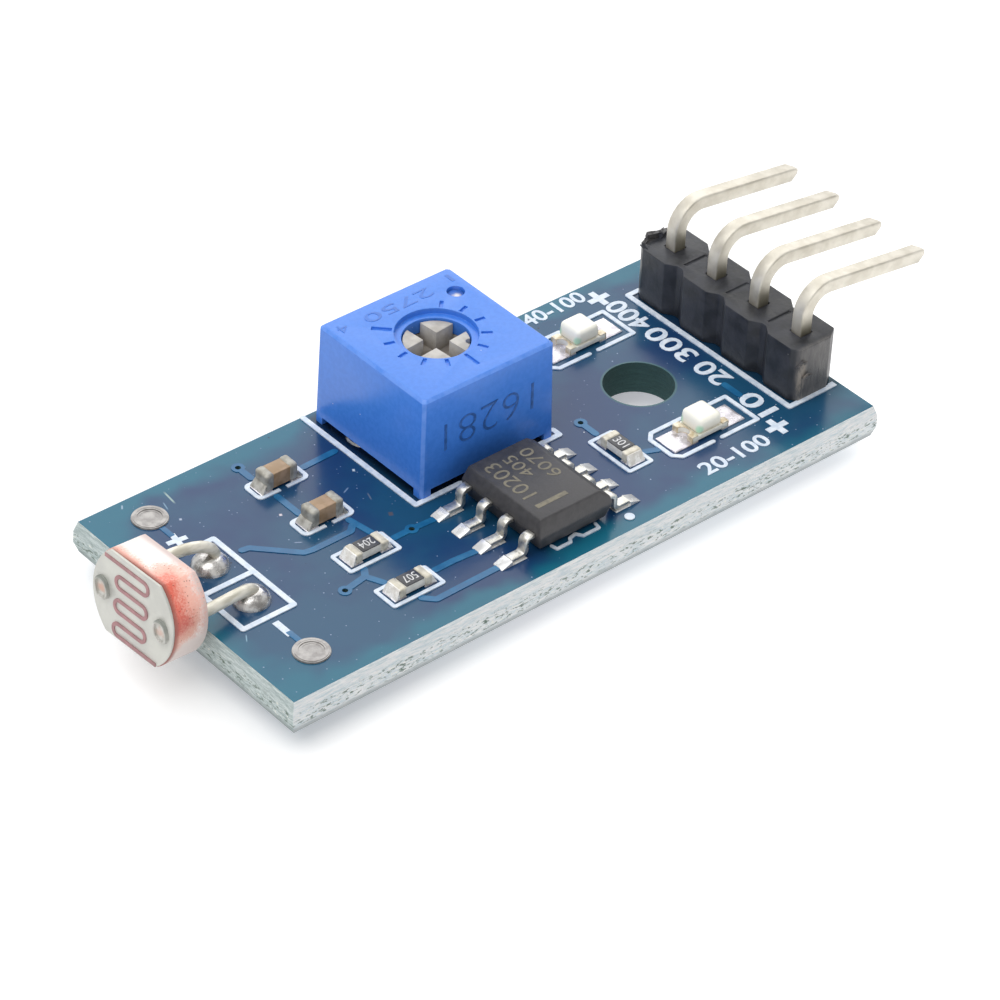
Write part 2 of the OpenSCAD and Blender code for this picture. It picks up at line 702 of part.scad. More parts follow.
// Rotor with the driver cross in its neck and a flange under the housing's top
module trimmer_rotor() {
  neck_d = rotor_hole_d - 2 * rotor_clear;
  face_z = trimmer_h - rotor_sink;
  flange_top = ceiling_z - rotor_lift;
  hub_z = element_z + resist_t + wiper_drop + wiper_t;
  color("silver") rotor_place() difference() {
    union() {
      translate([0, 0, hub_z]) cylinder(d = neck_d, h = face_z - hub_z);
      translate([0, 0, flange_top - rotor_flange_t])
        cylinder(d = rotor_flange_d, h = rotor_flange_t);
    }
    intersection() {
      for (a = [0, 90]) rotate(a) translate([0, 0, face_z - cross_depth])
        block(cross_w, rotor_hole_d, cross_depth + cut);
      translate([0, 0, face_z - cross_depth - cut]) cylinder(d = rotor_hole_d, h = cross_depth + 3 * cut);
    }
    rotate(-45) translate([neck_d / 2, 0, face_z - 0.3]) cylinder(d = 0.36, h = cut, $fn = 16);
  }
}

// Contact spring under the rotor: a thin disc with one finger that runs on the track
module trimmer_wiper() {
  contact_z = element_z + resist_t + wiper_gap;
  disc_z = element_z + resist_t + wiper_drop;
  color("gold") rotor_place() {
    difference() {
      translate([0, 0, disc_z]) cylinder(r = wiper_r + 0.25, h = wiper_t);
      translate([0, 0, disc_z - cut]) cylinder(r = wiper_r - 0.55, h = wiper_t + 2 * cut, $fn = 32);
    }
    rotate(-45) translate([wiper_r, 0, contact_z]) cylinder(d = 0.36, h = disc_z - contact_z, $fn = 16);
  }
}

// Ceramic plate that closes the housing from below and carries the track and pins
module trimmer_element() {
  color("whitesmoke") trimmer_place() difference() {
    translate([0, 0, foot_h]) block(inside[0], inside[1], element_t);
    for (p = trimmer_pins_at) translate([p[0], p[1], foot_h - cut])
      cylinder(d = trimmer_pin_d + 2 * fit, h = element_t / 2 + cut, $fn = 20);
  }
}

module trimmer_track() {
  color("dimgray") trimmer_place() translate([0, 0, element_z]) rotate(135 - 270)
    rotate_extrude(angle = 270) translate([wiper_r - 0.25, 0]) square([0.5, resist_t]);
}

module trimmer_pins() {
  color("silver") trimmer_place() for (p = trimmer_pins_at)
    translate([p[0], p[1], -board_t - solder_drop])
      cylinder(d = trimmer_pin_d, h = board_t + solder_drop + foot_h + element_t / 2, $fn = 20);
}

module trimmer_solder() {
  color("silver") for (p = trimmer_pins_at) difference() {
    place(trimmer_at + p) solder_joint(lead_hole_d, trimmer_pin_d / 2 + 0.06, foot_h * 0.7);
    place(trimmer_at + p) translate([0, 0, -2 * solder_drop])
      cylinder(d = trimmer_pin_d, h = board_t + 4 * solder_drop, $fn = 20);
  }
}

// Chip: its four sides slope in above and below the parting line
chip_mid = (chip_h + chip_standoff) / 2;

module drafted(width, length, bevel = 0) {
  low = width / 2 - chip_draft;
  slope = chip_draft / (chip_h - chip_mid);
  rotate([90, 0, 0]) translate([0, 0, -length / 2]) linear_extrude(length) polygon([
    [-low, chip_standoff], [low, chip_standoff], [width / 2, chip_mid],
    [low + bevel * slope, chip_h - bevel], [low - bevel, chip_h],
    [-low, chip_h], [-width / 2, chip_mid]]);
}

module chip_body() {
  color("dimgray") place(chip_at) translate([0, 0, board_t]) intersection() {
    drafted(chip_x, chip_y, chip_bevel);
    rotate(90) drafted(chip_y, chip_x);
  }
}

// Side view of one gull-wing lead, from the body outwards: shoulder, two bends and foot
lead_turn_r = 0.22;
knee_x = chip_x / 2 + 0.18;

function gull_line(d) = concat(
  [[chip_x / 2, chip_mid + d]],
  [for (a = [90 : -22.5 : 0]) [knee_x + (lead_turn_r + d) * cos(a),
                             chip_mid - lead_turn_r + (lead_turn_r + d) * sin(a)]],
  [for (a = [180 : 22.5 : 270]) [knee_x + 2 * lead_turn_r + (lead_turn_r - d) * cos(a),
                               pad_t + chip_lead_t / 2 + lead_turn_r + (lead_turn_r - d) * sin(a)]],
  [[chip_span / 2, pad_t + chip_lead_t / 2 + d]]);

module gull_lead() {
  upper = gull_line(chip_lead_t / 2);
  lower = gull_line(-chip_lead_t / 2);
  translate([0, chip_lead_w / 2, 0]) rotate([90, 0, 0]) linear_extrude(chip_lead_w)
    polygon(concat(upper, [for (i = [len(lower) - 1 : -1 : 0]) lower[i]]));
}

module each_chip_lead() {
  for (i = [0 : chip_side_leads - 1], side = [0, 180])
    translate([chip_at[0], chip_lead_y(i), board_t]) rotate(side) children();
}

module chip_leads() { color("silver") each_chip_lead() gull_lead(); }

// Solder under each foot, rising to its tip
module chip_solder() {
  tip = chip_span / 2;
  heel = knee_x + lead_turn_r;
  w = chip_lead_w + 0.14;
  color("silver") each_chip_lead() {
    translate([heel, -w / 2, 0]) cube([tip - heel, w, pad_t]);
    translate([0, w / 2, 0]) rotate([90, 0, 0]) linear_extrude(w) polygon([
      [tip, 0], [tip + 0.55, 0], [tip + 0.5, pad_t], [tip + 0.15, pad_t + chip_lead_t * 0.6],
      [tip, pad_t + chip_lead_t * 0.9]]);
  }
}

// Capacitors and resistors: a block with a cup-shaped metal cap on each end
cup_t = 0.05;

module core(h) translate([0, 0, part_z + cup_t])
  block(passive_len - 2 * cup_t, passive_w - 2 * cup_t, h - 2 * cup_t);

module end_caps(h, cap_len) {
  for (side = [-1, 1]) difference() {
    translate([side * (passive_len - cap_len) / 2, 0, part_z]) block(cap_len, passive_w, h);
    core(h);
  }
}

module capacitor_caps() end_caps(capacitor_h, capacitor_cap_len);
module resistor_caps() end_caps(resistor_h, resistor_cap_len);

module first_capacitor_body() { color("burlywood") place(first_capacitor_at) core(capacitor_h); }
module first_capacitor_ends() { color("silver") place(first_capacitor_at) capacitor_caps(); }
module second_capacitor_body() { color("burlywood") place(second_capacitor_at) core(capacitor_h); }
module second_capacitor_ends() { color("silver") place(second_capacitor_at) capacitor_caps(); }

// The dark coat lies on a resistor's top between its caps
module coat() translate([0, 0, part_z + resistor_h - cup_t])
  block(passive_len - 2 * resistor_cap_len - 2 * fit, passive_w - 2 * cup_t, cup_t);

module first_resistor_body() { color("white") place(first_resistor_at) core(resistor_h); }
module first_resistor_coat() { color("black") place(first_resistor_at) coat(); }
module first_resistor_ends() { color("silver") place(first_resistor_at) resistor_caps(); }
module second_resistor_body() { color("white") place(second_resistor_at) core(resistor_h); }
module second_resistor_coat() { color("black") place(second_resistor_at) coat(); }
module second_resistor_ends() { color("silver") place(second_resistor_at) resistor_caps(); }
module third_resistor_body() { color("white") place(third_resistor_at, 90) core(resistor_h); }
module third_resistor_coat() { color("black") place(third_resistor_at, 90) coat(); }
module third_resistor_ends() { color("silver") place(third_resistor_at, 90) resistor_caps(); }

// Lamps: a base with a half-round recess in each end, a clear lens and wrapped contacts
contact_len = 0.34;
contact_t = 0.05;
recess_r = 0.3;

module lamp_ends() {
  for (side = [-1, 1]) translate([side * lamp_len / 2, 0, 0])
    cylinder(r = recess_r, h = board_t + lamp_h, $fn = 24);
}

module lamp_base() difference() {
  translate([0, 0, part_z + contact_t])
    block(lamp_len - 2 * contact_t, lamp_w, lamp_base_t - 2 * contact_t);
  lamp_ends();
}

// The lens slopes in at its two ends
module lamp_lens() {
  base_z = part_z + lamp_base_t - contact_t;
  slope = 0.12;
  translate([0, lamp_w / 2, base_z]) rotate([90, 0, 0]) linear_extrude(lamp_w) polygon([
    [-lens_len / 2, 0], [lens_len / 2, 0], [lens_len / 2 - slope, lamp_h - lamp_base_t + contact_t],
    [slope - lens_len / 2, lamp_h - lamp_base_t + contact_t]]);
}

module lamp_contacts() {
  for (side = [-1, 1]) difference() {
    translate([side * (lamp_len - contact_len) / 2, 0, part_z]) block(contact_len, lamp_w, lamp_base_t);
    translate([0, 0, part_z + contact_t])
      block(lamp_len - 2 * contact_t, lamp_w + cut, lamp_base_t - 2 * contact_t);
    lamp_ends();
  }
}

module far_lamp_base() { color("ivory") place(far_lamp_at) lamp_base(); }
module far_lamp_lens() { color("honeydew") place(far_lamp_at) lamp_lens(); }
module far_lamp_contacts() { color("gold") place(far_lamp_at) lamp_contacts(); }
module near_lamp_base() { color("ivory") place(near_lamp_at) lamp_base(); }
module near_lamp_lens() { color("honeydew") place(near_lamp_at) lamp_lens(); }
module near_lamp_contacts() { color("gold") place(near_lamp_at) lamp_contacts(); }

// Solder pads below the surface-mounted ends
module end_pads(inner, outer, w) {
  for (side = [-1, 1]) translate([side * (inner + outer) / 2, 0, board_t]) block(outer - inner, w, pad_t);
}

module surface_solder() {
  passive_inner = passive_len / 2 - resistor_cap_len;
  color("silver") {
    for (at = [first_capacitor_at, second_capacitor_at, first_resistor_at, second_resistor_at])
      place(at) end_pads(passive_inner, passive_len / 2 + 0.24, passive_w);
    place(third_resistor_at, 90) end_pads(passive_inner, passive_len / 2 + 0.24, passive_w);
    for (at = [far_lamp_at, near_lamp_at])
      place(at) end_pads(lamp_len / 2 - contact_len, lamp_len / 2 + 0.9, lamp_w);
  }
}

// Header block: each way is an eight-sided post, with a notch on both faces between ways.
// Its two ends were snapped off a longer strip and are cut deeper on the pins' side.
module header_outline() {
  half_notch = (header_pitch - way_flat) / 2;
  difference() {
    square([header_w, header_ways * header_pitch - 2 * snap_loss], center = true);
    for (i = [0 : header_ways], side = [-1, 1]) {
      snapped = side > 0 && (i == 0 || i == header_ways);
      depth = snapped ? snap_depth : notch_depth;
      floor_y = half_notch * 0.25;
      translate([side * header_w / 2, (i - header_ways / 2) * header_pitch]) polygon([
        [0, -half_notch], [-side * depth, -floor_y], [-side * depth, floor_y], [0, half_notch],
        [side, half_notch], [side, -half_notch]]);
    }
  }
}

module header_block() {
  groove_depth = 0.08;
  groove_w = 0.14;
  passage = pin_side + 2 * fit;
  color("dimgray") translate([header_row_x, 0, board_t]) difference() {
    linear_extrude(header_h) header_outline();
    for (i = [1 : header_ways - 1])
      translate([0, (i - header_ways / 2) * header_pitch, header_h - groove_depth])
        block(header_w * 0.5, groove_w, cut);
    for (i = [0 : header_ways - 1]) translate([0, way_y(i), -cut])
      block(passage, passage, header_h + 2 * cut);
  }
}

// A square pin: up through the board and block, round the bend and out past the board's end
module header_pin(i) {
  bend_z = board_t + header_h + pin_rise - pin_bend;
  below = solder_drop;
  level = pin_reach - pin_bend - pin_bend * sin(pin_droop);
  color("silver") translate([header_row_x, way_y(i), 0]) {
    translate([0, 0, -below]) block(pin_side, pin_side, below + bend_z);
    translate([pin_bend, pin_side / 2, bend_z]) rotate([90, 0, 0]) linear_extrude(pin_side) pin_elbow();
    translate([pin_bend, 0, bend_z]) rotate([0, pin_droop, 0]) translate([0, 0, pin_bend])
      pin_tail(level / cos(pin_droop));
  }
}

// The bend seen from the side, as a ring sector
module pin_elbow() {
  inner = pin_bend - pin_side / 2;
  outer = pin_bend + pin_side / 2;
  steps = 8;
  ring = [for (i = [0 : steps]) 180 - (90 + pin_droop) * i / steps];
  polygon(concat([for (a = ring) outer * [cos(a), sin(a)]],
                 [for (i = [steps : -1 : 0]) inner * [cos(ring[i]), sin(ring[i])]]));
}

// Straight stretch of a pin along +X with a blunt four-sided point
module pin_tail(length) {
  half = pin_side / 2;
  side_view = [[0, -half], [length - pin_point, -half], [length, -half * 0.4],
               [length, half * 0.4], [length - pin_point, half], [0, half]];
  intersection() {
    translate([0, half, 0]) rotate([90, 0, 0]) linear_extrude(pin_side) polygon(side_view);
    translate([0, 0, -half]) linear_extrude(pin_side) polygon(side_view);
  }
}

module header_pin_1() header_pin(0);
module header_pin_2() header_pin(1);
module header_pin_3() header_pin(2);
module header_pin_4() header_pin(3);

module header_solder() {
  color("silver") for (i = [0 : header_ways - 1])
    translate([header_row_x, way_y(i), 0]) difference() {
      solder_joint(pin_hole_d, pin_side * 0.72, 0);
      translate([0, 0, -2 * solder_drop]) block(pin_side, pin_side, board_t + 4 * solder_drop);
    }
}

circuit_board();
copper_traces();
silkscreen();
test_pads();
photoresistor_disc();
photoresistor_film();
photoresistor_track();
photoresistor_terminals();
photoresistor_far_lead();
photoresistor_near_lead();
far_lead_solder();
near_lead_solder();
trimmer_housing();
trimmer_rotor();
trimmer_wiper();
trimmer_element();
trimmer_track();
trimmer_pins();
trimmer_solder();
chip_body();
chip_leads();
chip_solder();
first_capacitor_body();
first_capacitor_ends();
second_capacitor_body();
second_capacitor_ends();
first_resistor_body();
first_resistor_coat();
first_resistor_ends();
second_resistor_body();
second_resistor_coat();
second_resistor_ends();
third_resistor_body();
third_resistor_coat();
third_resistor_ends();
far_lamp_base();
far_lamp_lens();
far_lamp_contacts();
near_lamp_base();
near_lamp_lens();
near_lamp_contacts();
surface_solder();
header_block();
header_pin_1();
header_pin_2();
header_pin_3();
header_pin_4();
header_solder();
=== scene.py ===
"""Finish, prints, small fittings and stage for a photoresistor light sensor module.

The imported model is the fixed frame. Each operator below dresses one piece or one
group of like pieces around it, and the last one sets up the floor, lights and camera.
"""

import json
import math

import bpy
from mathutils import Matrix, Vector

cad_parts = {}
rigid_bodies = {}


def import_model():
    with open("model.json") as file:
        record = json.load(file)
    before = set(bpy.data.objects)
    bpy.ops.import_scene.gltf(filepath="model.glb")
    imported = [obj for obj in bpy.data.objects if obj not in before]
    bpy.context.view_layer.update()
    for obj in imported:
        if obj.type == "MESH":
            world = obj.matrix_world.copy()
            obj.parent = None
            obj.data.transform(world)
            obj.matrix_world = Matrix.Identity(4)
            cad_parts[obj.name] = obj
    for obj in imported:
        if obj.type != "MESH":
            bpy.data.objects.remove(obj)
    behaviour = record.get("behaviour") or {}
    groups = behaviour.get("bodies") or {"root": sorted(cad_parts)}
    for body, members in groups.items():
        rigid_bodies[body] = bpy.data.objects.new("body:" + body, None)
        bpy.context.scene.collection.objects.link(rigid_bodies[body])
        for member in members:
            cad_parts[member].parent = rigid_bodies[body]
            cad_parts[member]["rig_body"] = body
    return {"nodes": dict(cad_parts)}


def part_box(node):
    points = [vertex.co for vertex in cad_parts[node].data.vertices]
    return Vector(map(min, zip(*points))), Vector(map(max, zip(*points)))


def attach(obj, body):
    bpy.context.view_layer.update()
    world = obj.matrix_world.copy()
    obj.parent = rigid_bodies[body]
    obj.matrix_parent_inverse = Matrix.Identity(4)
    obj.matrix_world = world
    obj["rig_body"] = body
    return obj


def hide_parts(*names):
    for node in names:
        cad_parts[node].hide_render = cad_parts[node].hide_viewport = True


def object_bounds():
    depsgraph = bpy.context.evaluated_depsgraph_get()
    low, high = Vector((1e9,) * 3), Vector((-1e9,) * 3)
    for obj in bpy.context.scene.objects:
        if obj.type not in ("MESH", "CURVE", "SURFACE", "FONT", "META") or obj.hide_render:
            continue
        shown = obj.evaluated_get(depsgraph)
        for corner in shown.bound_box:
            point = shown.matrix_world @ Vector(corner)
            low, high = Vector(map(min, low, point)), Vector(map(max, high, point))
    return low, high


bl_info = {
    "name": "Light sensor board finish",
    "version": (1, 0, 0),
    "blender": (4, 5, 0),
    "location": "3D View > Sidebar > Sensor board",
    "description": "Dresses the packed light sensor board with its finishes, prints and stage",
    "category": "Object",
}

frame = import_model()
NODES = frame["nodes"]
CAD_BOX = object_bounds()
BODIES = {name: node["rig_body"] for name, node in NODES.items()}
MM = 0.001
# Points nearer to each other than this are one point
FINEST = 0.001 * MM
BOARD = [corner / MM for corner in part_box("circuit_board")]
BOARD_TOP = BOARD[1].z
# Name of the node that gives the place on a piece in millimetres. Patterns read it, so a scale is
# one divided by the size of what it draws.
PLACE = "Place in mm"
# Settings that most materials share. A Mix node has its share on socket 0 and its colours on 6 and
# 7. A Map Range node has its value on 0, the limits on 1 and 2 and what they turn into on 3 and 4.
COLOURS = {"out": 2, "data_type": "RGBA"}
SOFT = {"interpolation_type": "SMOOTHSTEP"}
# Scratches and lint on the solder mask: the middle of a short line, its angle in degrees, half its
# length and half its width in millimetres, and its colour
SCRATCHES = (
    (-19.68, 5.69, -96, 0.5, 0.035, "93ABA9"), (-20.12, 5.35, -104, 0.3, 0.022, "6F93AE"),
    (-21.51, 6.33, -125, 0.16, 0.03, "8FA9BE"), (-20.16, 4.32, -122, 0.08, 0.045, "AAB6CC"),
    (-13.9, 1.81, -156, 0.24, 0.028, "6E86A6"), (-13.41, 0.94, -109, 0.28, 0.028, "5E6C80"),
    (-17.42, 0.37, -34, 0.2, 0.02, "8A9AB8"), (-22.53, -2.99, -124, 0.26, 0.02, "7FA6BC"),
    (-16.9, 2.15, -116, 0.09, 0.05, "D8CFD6"), (-13.45, -0.44, -117, 0.16, 0.08, "55535A"),
    (-12.85, 2.64, -122, 0.1, 0.045, "C9D6DE"))


# Small helpers


def linear(code):
    """The linear colour of an sRGB hex code such as 1E3F75."""
    parts = [int(code[i:i + 2], 16) / 255 for i in (0, 2, 4)]
    return [c / 12.92 if c <= 0.04045 else ((c + 0.055) / 1.055) ** 2.4 for c in parts] + [1.0]


def add(tree, kind, inputs=None, out=0, **settings):
    """Adds a shader node, sets or links its inputs, and returns one of its outputs."""
    node = tree.nodes.new("ShaderNode" + kind)
    for key, value in settings.items():
        setattr(node, key, value)
    for key, value in (inputs or {}).items():
        if isinstance(value, bpy.types.NodeSocket):
            tree.links.new(value, node.inputs[key])
        else:
            node.inputs[key].default_value = value
    return node.outputs[out]


def begin(name, **sockets):
    """A new material with its shader's fixed values, and the place on the piece in millimetres."""
    material = bpy.data.materials.new(name)
    material.use_nodes = True
    tree = material.node_tree
    shader = tree.nodes["Principled BSDF"]
    for key, value in sockets.items():
        shader.inputs[key.replace("_", " ")].default_value = value
    place = add(tree, "VectorMath", {0: add(tree, "TexCoord", out="Object"), "Scale": 1 / MM},
                operation="SCALE", name=PLACE)
    return material, tree, shader, place


def only(piece):
    """Selects this piece alone."""
    if bpy.context.object and bpy.context.object.mode != "OBJECT":
        bpy.ops.object.mode_set(mode="OBJECT")
    bpy.ops.object.select_all(action="DESELECT")
    piece.select_set(True)
    bpy.context.view_layer.objects.active = piece


def settle(piece, name, finish, like, hides=()):
    """Names a finished piece, gives it its finish, lets it ride like a node and hides the nodes it stands
    for.
    """
    only(piece)
    bpy.ops.object.transform_apply(location=True, rotation=True, scale=True)
    piece.name = piece.data.name = name
    piece.data.materials.clear()
    piece.data.materials.append(finish)
    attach(piece, BODIES[like])
    if hides:
        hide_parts(*hides)
    return piece


def paint(node, finish):
    """Gives a model node its finish."""
    NODES[node].data.materials[0] = finish


def pick(piece, kind, test):
    """Goes to edit mode with those points, edges or faces of a piece selected that a test accepts."""
    only(piece)
    bpy.ops.object.mode_set(mode="EDIT")
    bpy.ops.mesh.select_mode(type=kind)
    bpy.ops.mesh.select_all(action="DESELECT")
    bpy.ops.object.mode_set(mode="OBJECT")
    parts = {"VERT": piece.data.vertices, "EDGE": piece.data.edges, "FACE": piece.data.polygons}[kind]
    chosen = 0
    for part in parts:
        part.select = test(part)
        chosen += part.select
    if not chosen:
        raise RuntimeError("nothing to edit was found on " + piece.name)
    bpy.ops.object.mode_set(mode="EDIT")


def merged(node):
    """A copy of a node with its doubled points merged and its flat faces joined."""
    piece = bpy.data.objects.new(node, NODES[node].data.copy())
    bpy.context.collection.objects.link(piece)
    only(piece)
    bpy.ops.mesh.customdata_custom_splitnormals_clear()
    bpy.ops.object.mode_set(mode="EDIT")
    bpy.ops.mesh.select_all(action="SELECT")
    bpy.ops.mesh.remove_doubles(threshold=FINEST)
    bpy.ops.mesh.dissolve_limited(angle_limit=math.radians(0.5))
    bpy.ops.object.mode_set(mode="OBJECT")
    return piece


def rounded(node, finish, edge, name=None, steps=2, angle=30, smooth=35):
    """A merged copy of a node with its edges rounded, which stands for the node.

    The edge is in millimetres, and 0 leaves the edges as they are. Angles are in degrees: edges
    sharper than angle are rounded, and those blunter than smooth are shaded smooth.
    """
    piece = merged(node)
    if edge:
        bevel = piece.modifiers.new("Rounded edges", "BEVEL")
        bevel.width = edge * MM
        bevel.segments = steps
        bevel.limit_method = "ANGLE"
        bevel.angle_limit = math.radians(angle)
        bpy.ops.object.modifier_apply(modifier=bevel.name)
    bpy.ops.object.shade_smooth_by_angle(angle=math.radians(smooth))
    return settle(piece, name or node + "_skin", finish, node, hides=[node])


def soften(piece, edge, steps=3):
    """Rounds every edge of a new piece."""
    only(piece)
    bpy.ops.object.mode_set(mode="EDIT")
    bpy.ops.mesh.select_all(action="SELECT")
    bpy.ops.mesh.bevel(offset=edge * MM, segments=steps)
    bpy.ops.object.mode_set(mode="OBJECT")
    bpy.ops.object.shade_smooth_by_angle(angle=math.radians(60))


def block(size, edge, steps=3):
    """A block of a size with rounded edges, all in millimetres."""
    bpy.ops.object.select_all(action="DESELECT")
    bpy.ops.mesh.primitive_cube_add(size=MM)
    piece = bpy.context.object
    piece.scale = size
    bpy.ops.object.transform_apply(location=False, rotation=False, scale=True)
    soften(piece, edge, steps)
    return piece


def dome(radius, steps, draw=0.0):
    """A low round cap built up by steps of (rise, inset), drawn out to an oval, all in millimetres."""
    bpy.ops.object.select_all(action="DESELECT")
    bpy.ops.mesh.primitive_circle_add(vertices=48, radius=radius * MM, fill_type="NGON")
    piece = bpy.context.object
    if draw:
        for side in (-1, 1):
            pick(piece, "VERT", lambda point: point.co.y * side > FINEST)
            bpy.ops.transform.translate(value=(0, side * draw / 2 * MM, 0))
    only(piece)
    bpy.ops.object.mode_set(mode="EDIT")
    bpy.ops.mesh.select_all(action="SELECT")
    for rise, inset in steps:
        bpy.ops.mesh.extrude_region_move(TRANSFORM_OT_translate={"value": (0, 0, rise * MM)})
        bpy.ops.mesh.inset(thickness=inset * MM)
    bpy.ops.object.mode_set(mode="OBJECT")
    bpy.ops.object.shade_smooth_by_angle(angle=math.radians(60))
    return piece


def doubled(piece):
    """A copy of a new piece with its own mesh."""
    other = piece.copy()
    other.data = piece.data.copy()
    bpy.context.collection.objects.link(other)
    return other


def raise_tops(piece, steps):
    """Raises a piece's upward faces into low domes by steps of (inwards, upwards) in millimetres."""
    pick(piece, "FACE", lambda face: face.normal.z > 0.98)
    for inwards, upwards in steps:
        bpy.ops.mesh.inset(thickness=inwards * MM, depth=upwards * MM)
    bpy.ops.object.mode_set(mode="OBJECT")


def lettering(name, words, size, middle, finish, like, turn=(0, 0, 0), depth=0.02, weight=0.0):
    """Flat raised characters of a given width and height, centred on a point of a surface.

    They are turned about their own upright axis, then about X, and last about the vertical:
    the turns are given in degrees, as (about X, own, about the vertical).
    """
    bpy.ops.object.select_all(action="DESELECT")
    bpy.ops.object.text_add(location=(0, 0, 0))
    piece = bpy.context.object
    piece.data.body = words
    piece.data.align_x = "CENTER"
    piece.data.extrude = 0.5
    piece.data.offset = weight
    piece.data.resolution_u = 4
    bpy.ops.object.convert(target="MESH")
    piece = bpy.context.object
    corners = [Vector(c) for c in piece.bound_box]
    low = Vector(min(c[i] for c in corners) for i in range(3))
    high = Vector(max(c[i] for c in corners) for i in range(3))
    wanted = Vector((size[0], size[1], depth)) * MM
    scale = Vector(w / (h - l) for w, h, l in zip(wanted, high, low))
    base = Vector(((low.x + high.x) / 2, (low.y + high.y) / 2, low.z))
    about_x, own, upright = [math.radians(angle) for angle in turn]
    turned = Matrix.Rotation(upright, 4, "Z") @ Matrix.Rotation(about_x, 4, "X")
    turned = turned @ Matrix.Rotation(own, 4, "Z")
    piece.matrix_world = (Matrix.Translation(Vector(middle) * MM) @ turned
                          @ Matrix.Diagonal(scale.to_4d()) @ Matrix.Translation(-base))
    return settle(piece, name, finish, like)


# Finishes


def speckled(tree, place, colour, spot, spacing, radius, share):
    """A colour with small spots over it: dust or filler, at a spacing and radius in millimetres."""
    distance = add(tree, "TexVoronoi", {"Vector": place, "Scale": 1 / spacing}, out="Distance")
    near = add(tree, "MapRange", {0: distance, 1: radius / spacing, 2: 0.4 * radius / spacing}, **SOFT)
    # Each cell's random colour says whether it has a spot
    chosen = add(tree, "Math", {0: distance.node.outputs["Color"], 1: share}, operation="LESS_THAN")
    both = add(tree, "Math", {0: near, 1: chosen}, operation="MULTIPLY")
    return add(tree, "Mix", {0: both, 6: colour, 7: linear(spot)}, **COLOURS)


def mottled(name, light, dark, grain, rough, relief=0.0, stretch=(1, 1, 1), contrast=(0.35, 0.65),
            dust=None, **sockets):
    """A finish whose colour, roughness and relief vary over a grain in millimetres."""
    light, dark = [linear(tone) if isinstance(tone, str) else tone for tone in (light, dark)]
    material, tree, shader, place = begin(name, **sockets)
    spot = add(tree, "Mapping", {"Vector": place, "Scale": stretch}, vector_type="POINT")
    field = add(tree, "TexNoise", {"Vector": spot, "Scale": 1 / grain, "Detail": 4.0})
    share = add(tree, "MapRange", {0: field, 1: contrast[0], 2: contrast[1]}, **SOFT)
    colour = add(tree, "Mix", {0: share, 6: dark, 7: light}, **COLOURS)
    if dust:
        colour = speckled(tree, place, colour, *dust)
    tree.links.new(colour, shader.inputs["Base Color"])
    roughness = add(tree, "MapRange", {0: share, 3: rough[0], 4: rough[1]})
    tree.links.new(roughness, shader.inputs["Roughness"])
    if relief:
        # The relief is three times as fine as the colour
        fine = add(tree, "TexNoise", {"Vector": spot, "Scale": 3 / grain, "Detail": 3.0})
        bump = add(tree, "Bump", {"Height": fine, "Strength": 1.0, "Distance": relief * MM})
        tree.links.new(bump, shader.inputs["Normal"])
    return material


def wear_and_highlight(material, middle, reach, tone):
    """Lets a finish go paler on rounded edges that lie further than a reach from a point: wear, and a
    painted highlight along the edges.
    """
    tree = material.node_tree
    socket = tree.nodes["Principled BSDF"].inputs["Base Color"]
    place = tree.nodes[PLACE].outputs[0]
    # On a rounded edge the normal runs along none of the three axes
    facing = add(tree, "VectorMath", {0: add(tree, "NewGeometry", out="Normal")}, operation="ABSOLUTE")
    x, y, z = add(tree, "SeparateXYZ", {0: facing}).node.outputs
    most = add(tree, "Math", {0: x, 1: y}, operation="MAXIMUM")
    most = add(tree, "Math", {0: most, 1: z}, operation="MAXIMUM")
    on_edge = add(tree, "MapRange", {0: most, 1: 0.99, 2: 0.85}, **SOFT)
    # Rubbed and highlighted in patches of 0.4 mm
    rubbed = add(tree, "TexNoise", {"Vector": place, "Scale": 1 / 0.4, "Detail": 4.0})
    patchy = add(tree, "MapRange", {0: rubbed, 1: 0.3, 2: 0.6, 3: 0.35, 4: 0.8}, **SOFT)
    away = add(tree, "VectorMath", {0: place, 1: middle}, out="Value", operation="DISTANCE")
    outside = add(tree, "MapRange", {0: away, 1: reach, 2: reach + 0.2}, **SOFT)
    share = add(tree, "Math", {0: on_edge, 1: patchy}, operation="MULTIPLY")
    share = add(tree, "Math", {0: share, 1: outside}, operation="MULTIPLY")
    worn_and_lit = add(tree, "Mix", {0: share, 6: socket.links[0].from_socket, 7: linear(tone)}, **COLOURS)
    tree.links.new(worn_and_lit, socket)


def shade_pin_base(material, top, tone):
    """Paints shade and the dark block's reflection on a pin above the block it stands in, most on its
    near side.
    """
    tree = material.node_tree
    socket = tree.nodes["Principled BSDF"].inputs["Base Color"]
    height = add(tree, "SeparateXYZ", {0: tree.nodes[PLACE].outputs[0]}, out=2)
    low_down = add(tree, "MapRange", {0: height, 1: top + 1.3, 2: top}, **SOFT)
    facing = add(tree, "SeparateXYZ", {0: add(tree, "NewGeometry", out="Normal")}, out=1)
    near = add(tree, "MapRange", {0: facing, 1: -0.3, 2: -0.9, 3: 0.25, 4: 0.85}, **SOFT)
    share = add(tree, "Math", {0: low_down, 1: near}, operation="MULTIPLY")
    pin_shaded = add(tree, "Mix", {0: share, 6: socket.links[0].from_socket, 7: linear(tone)}, **COLOURS)
    tree.links.new(pin_shaded, socket)


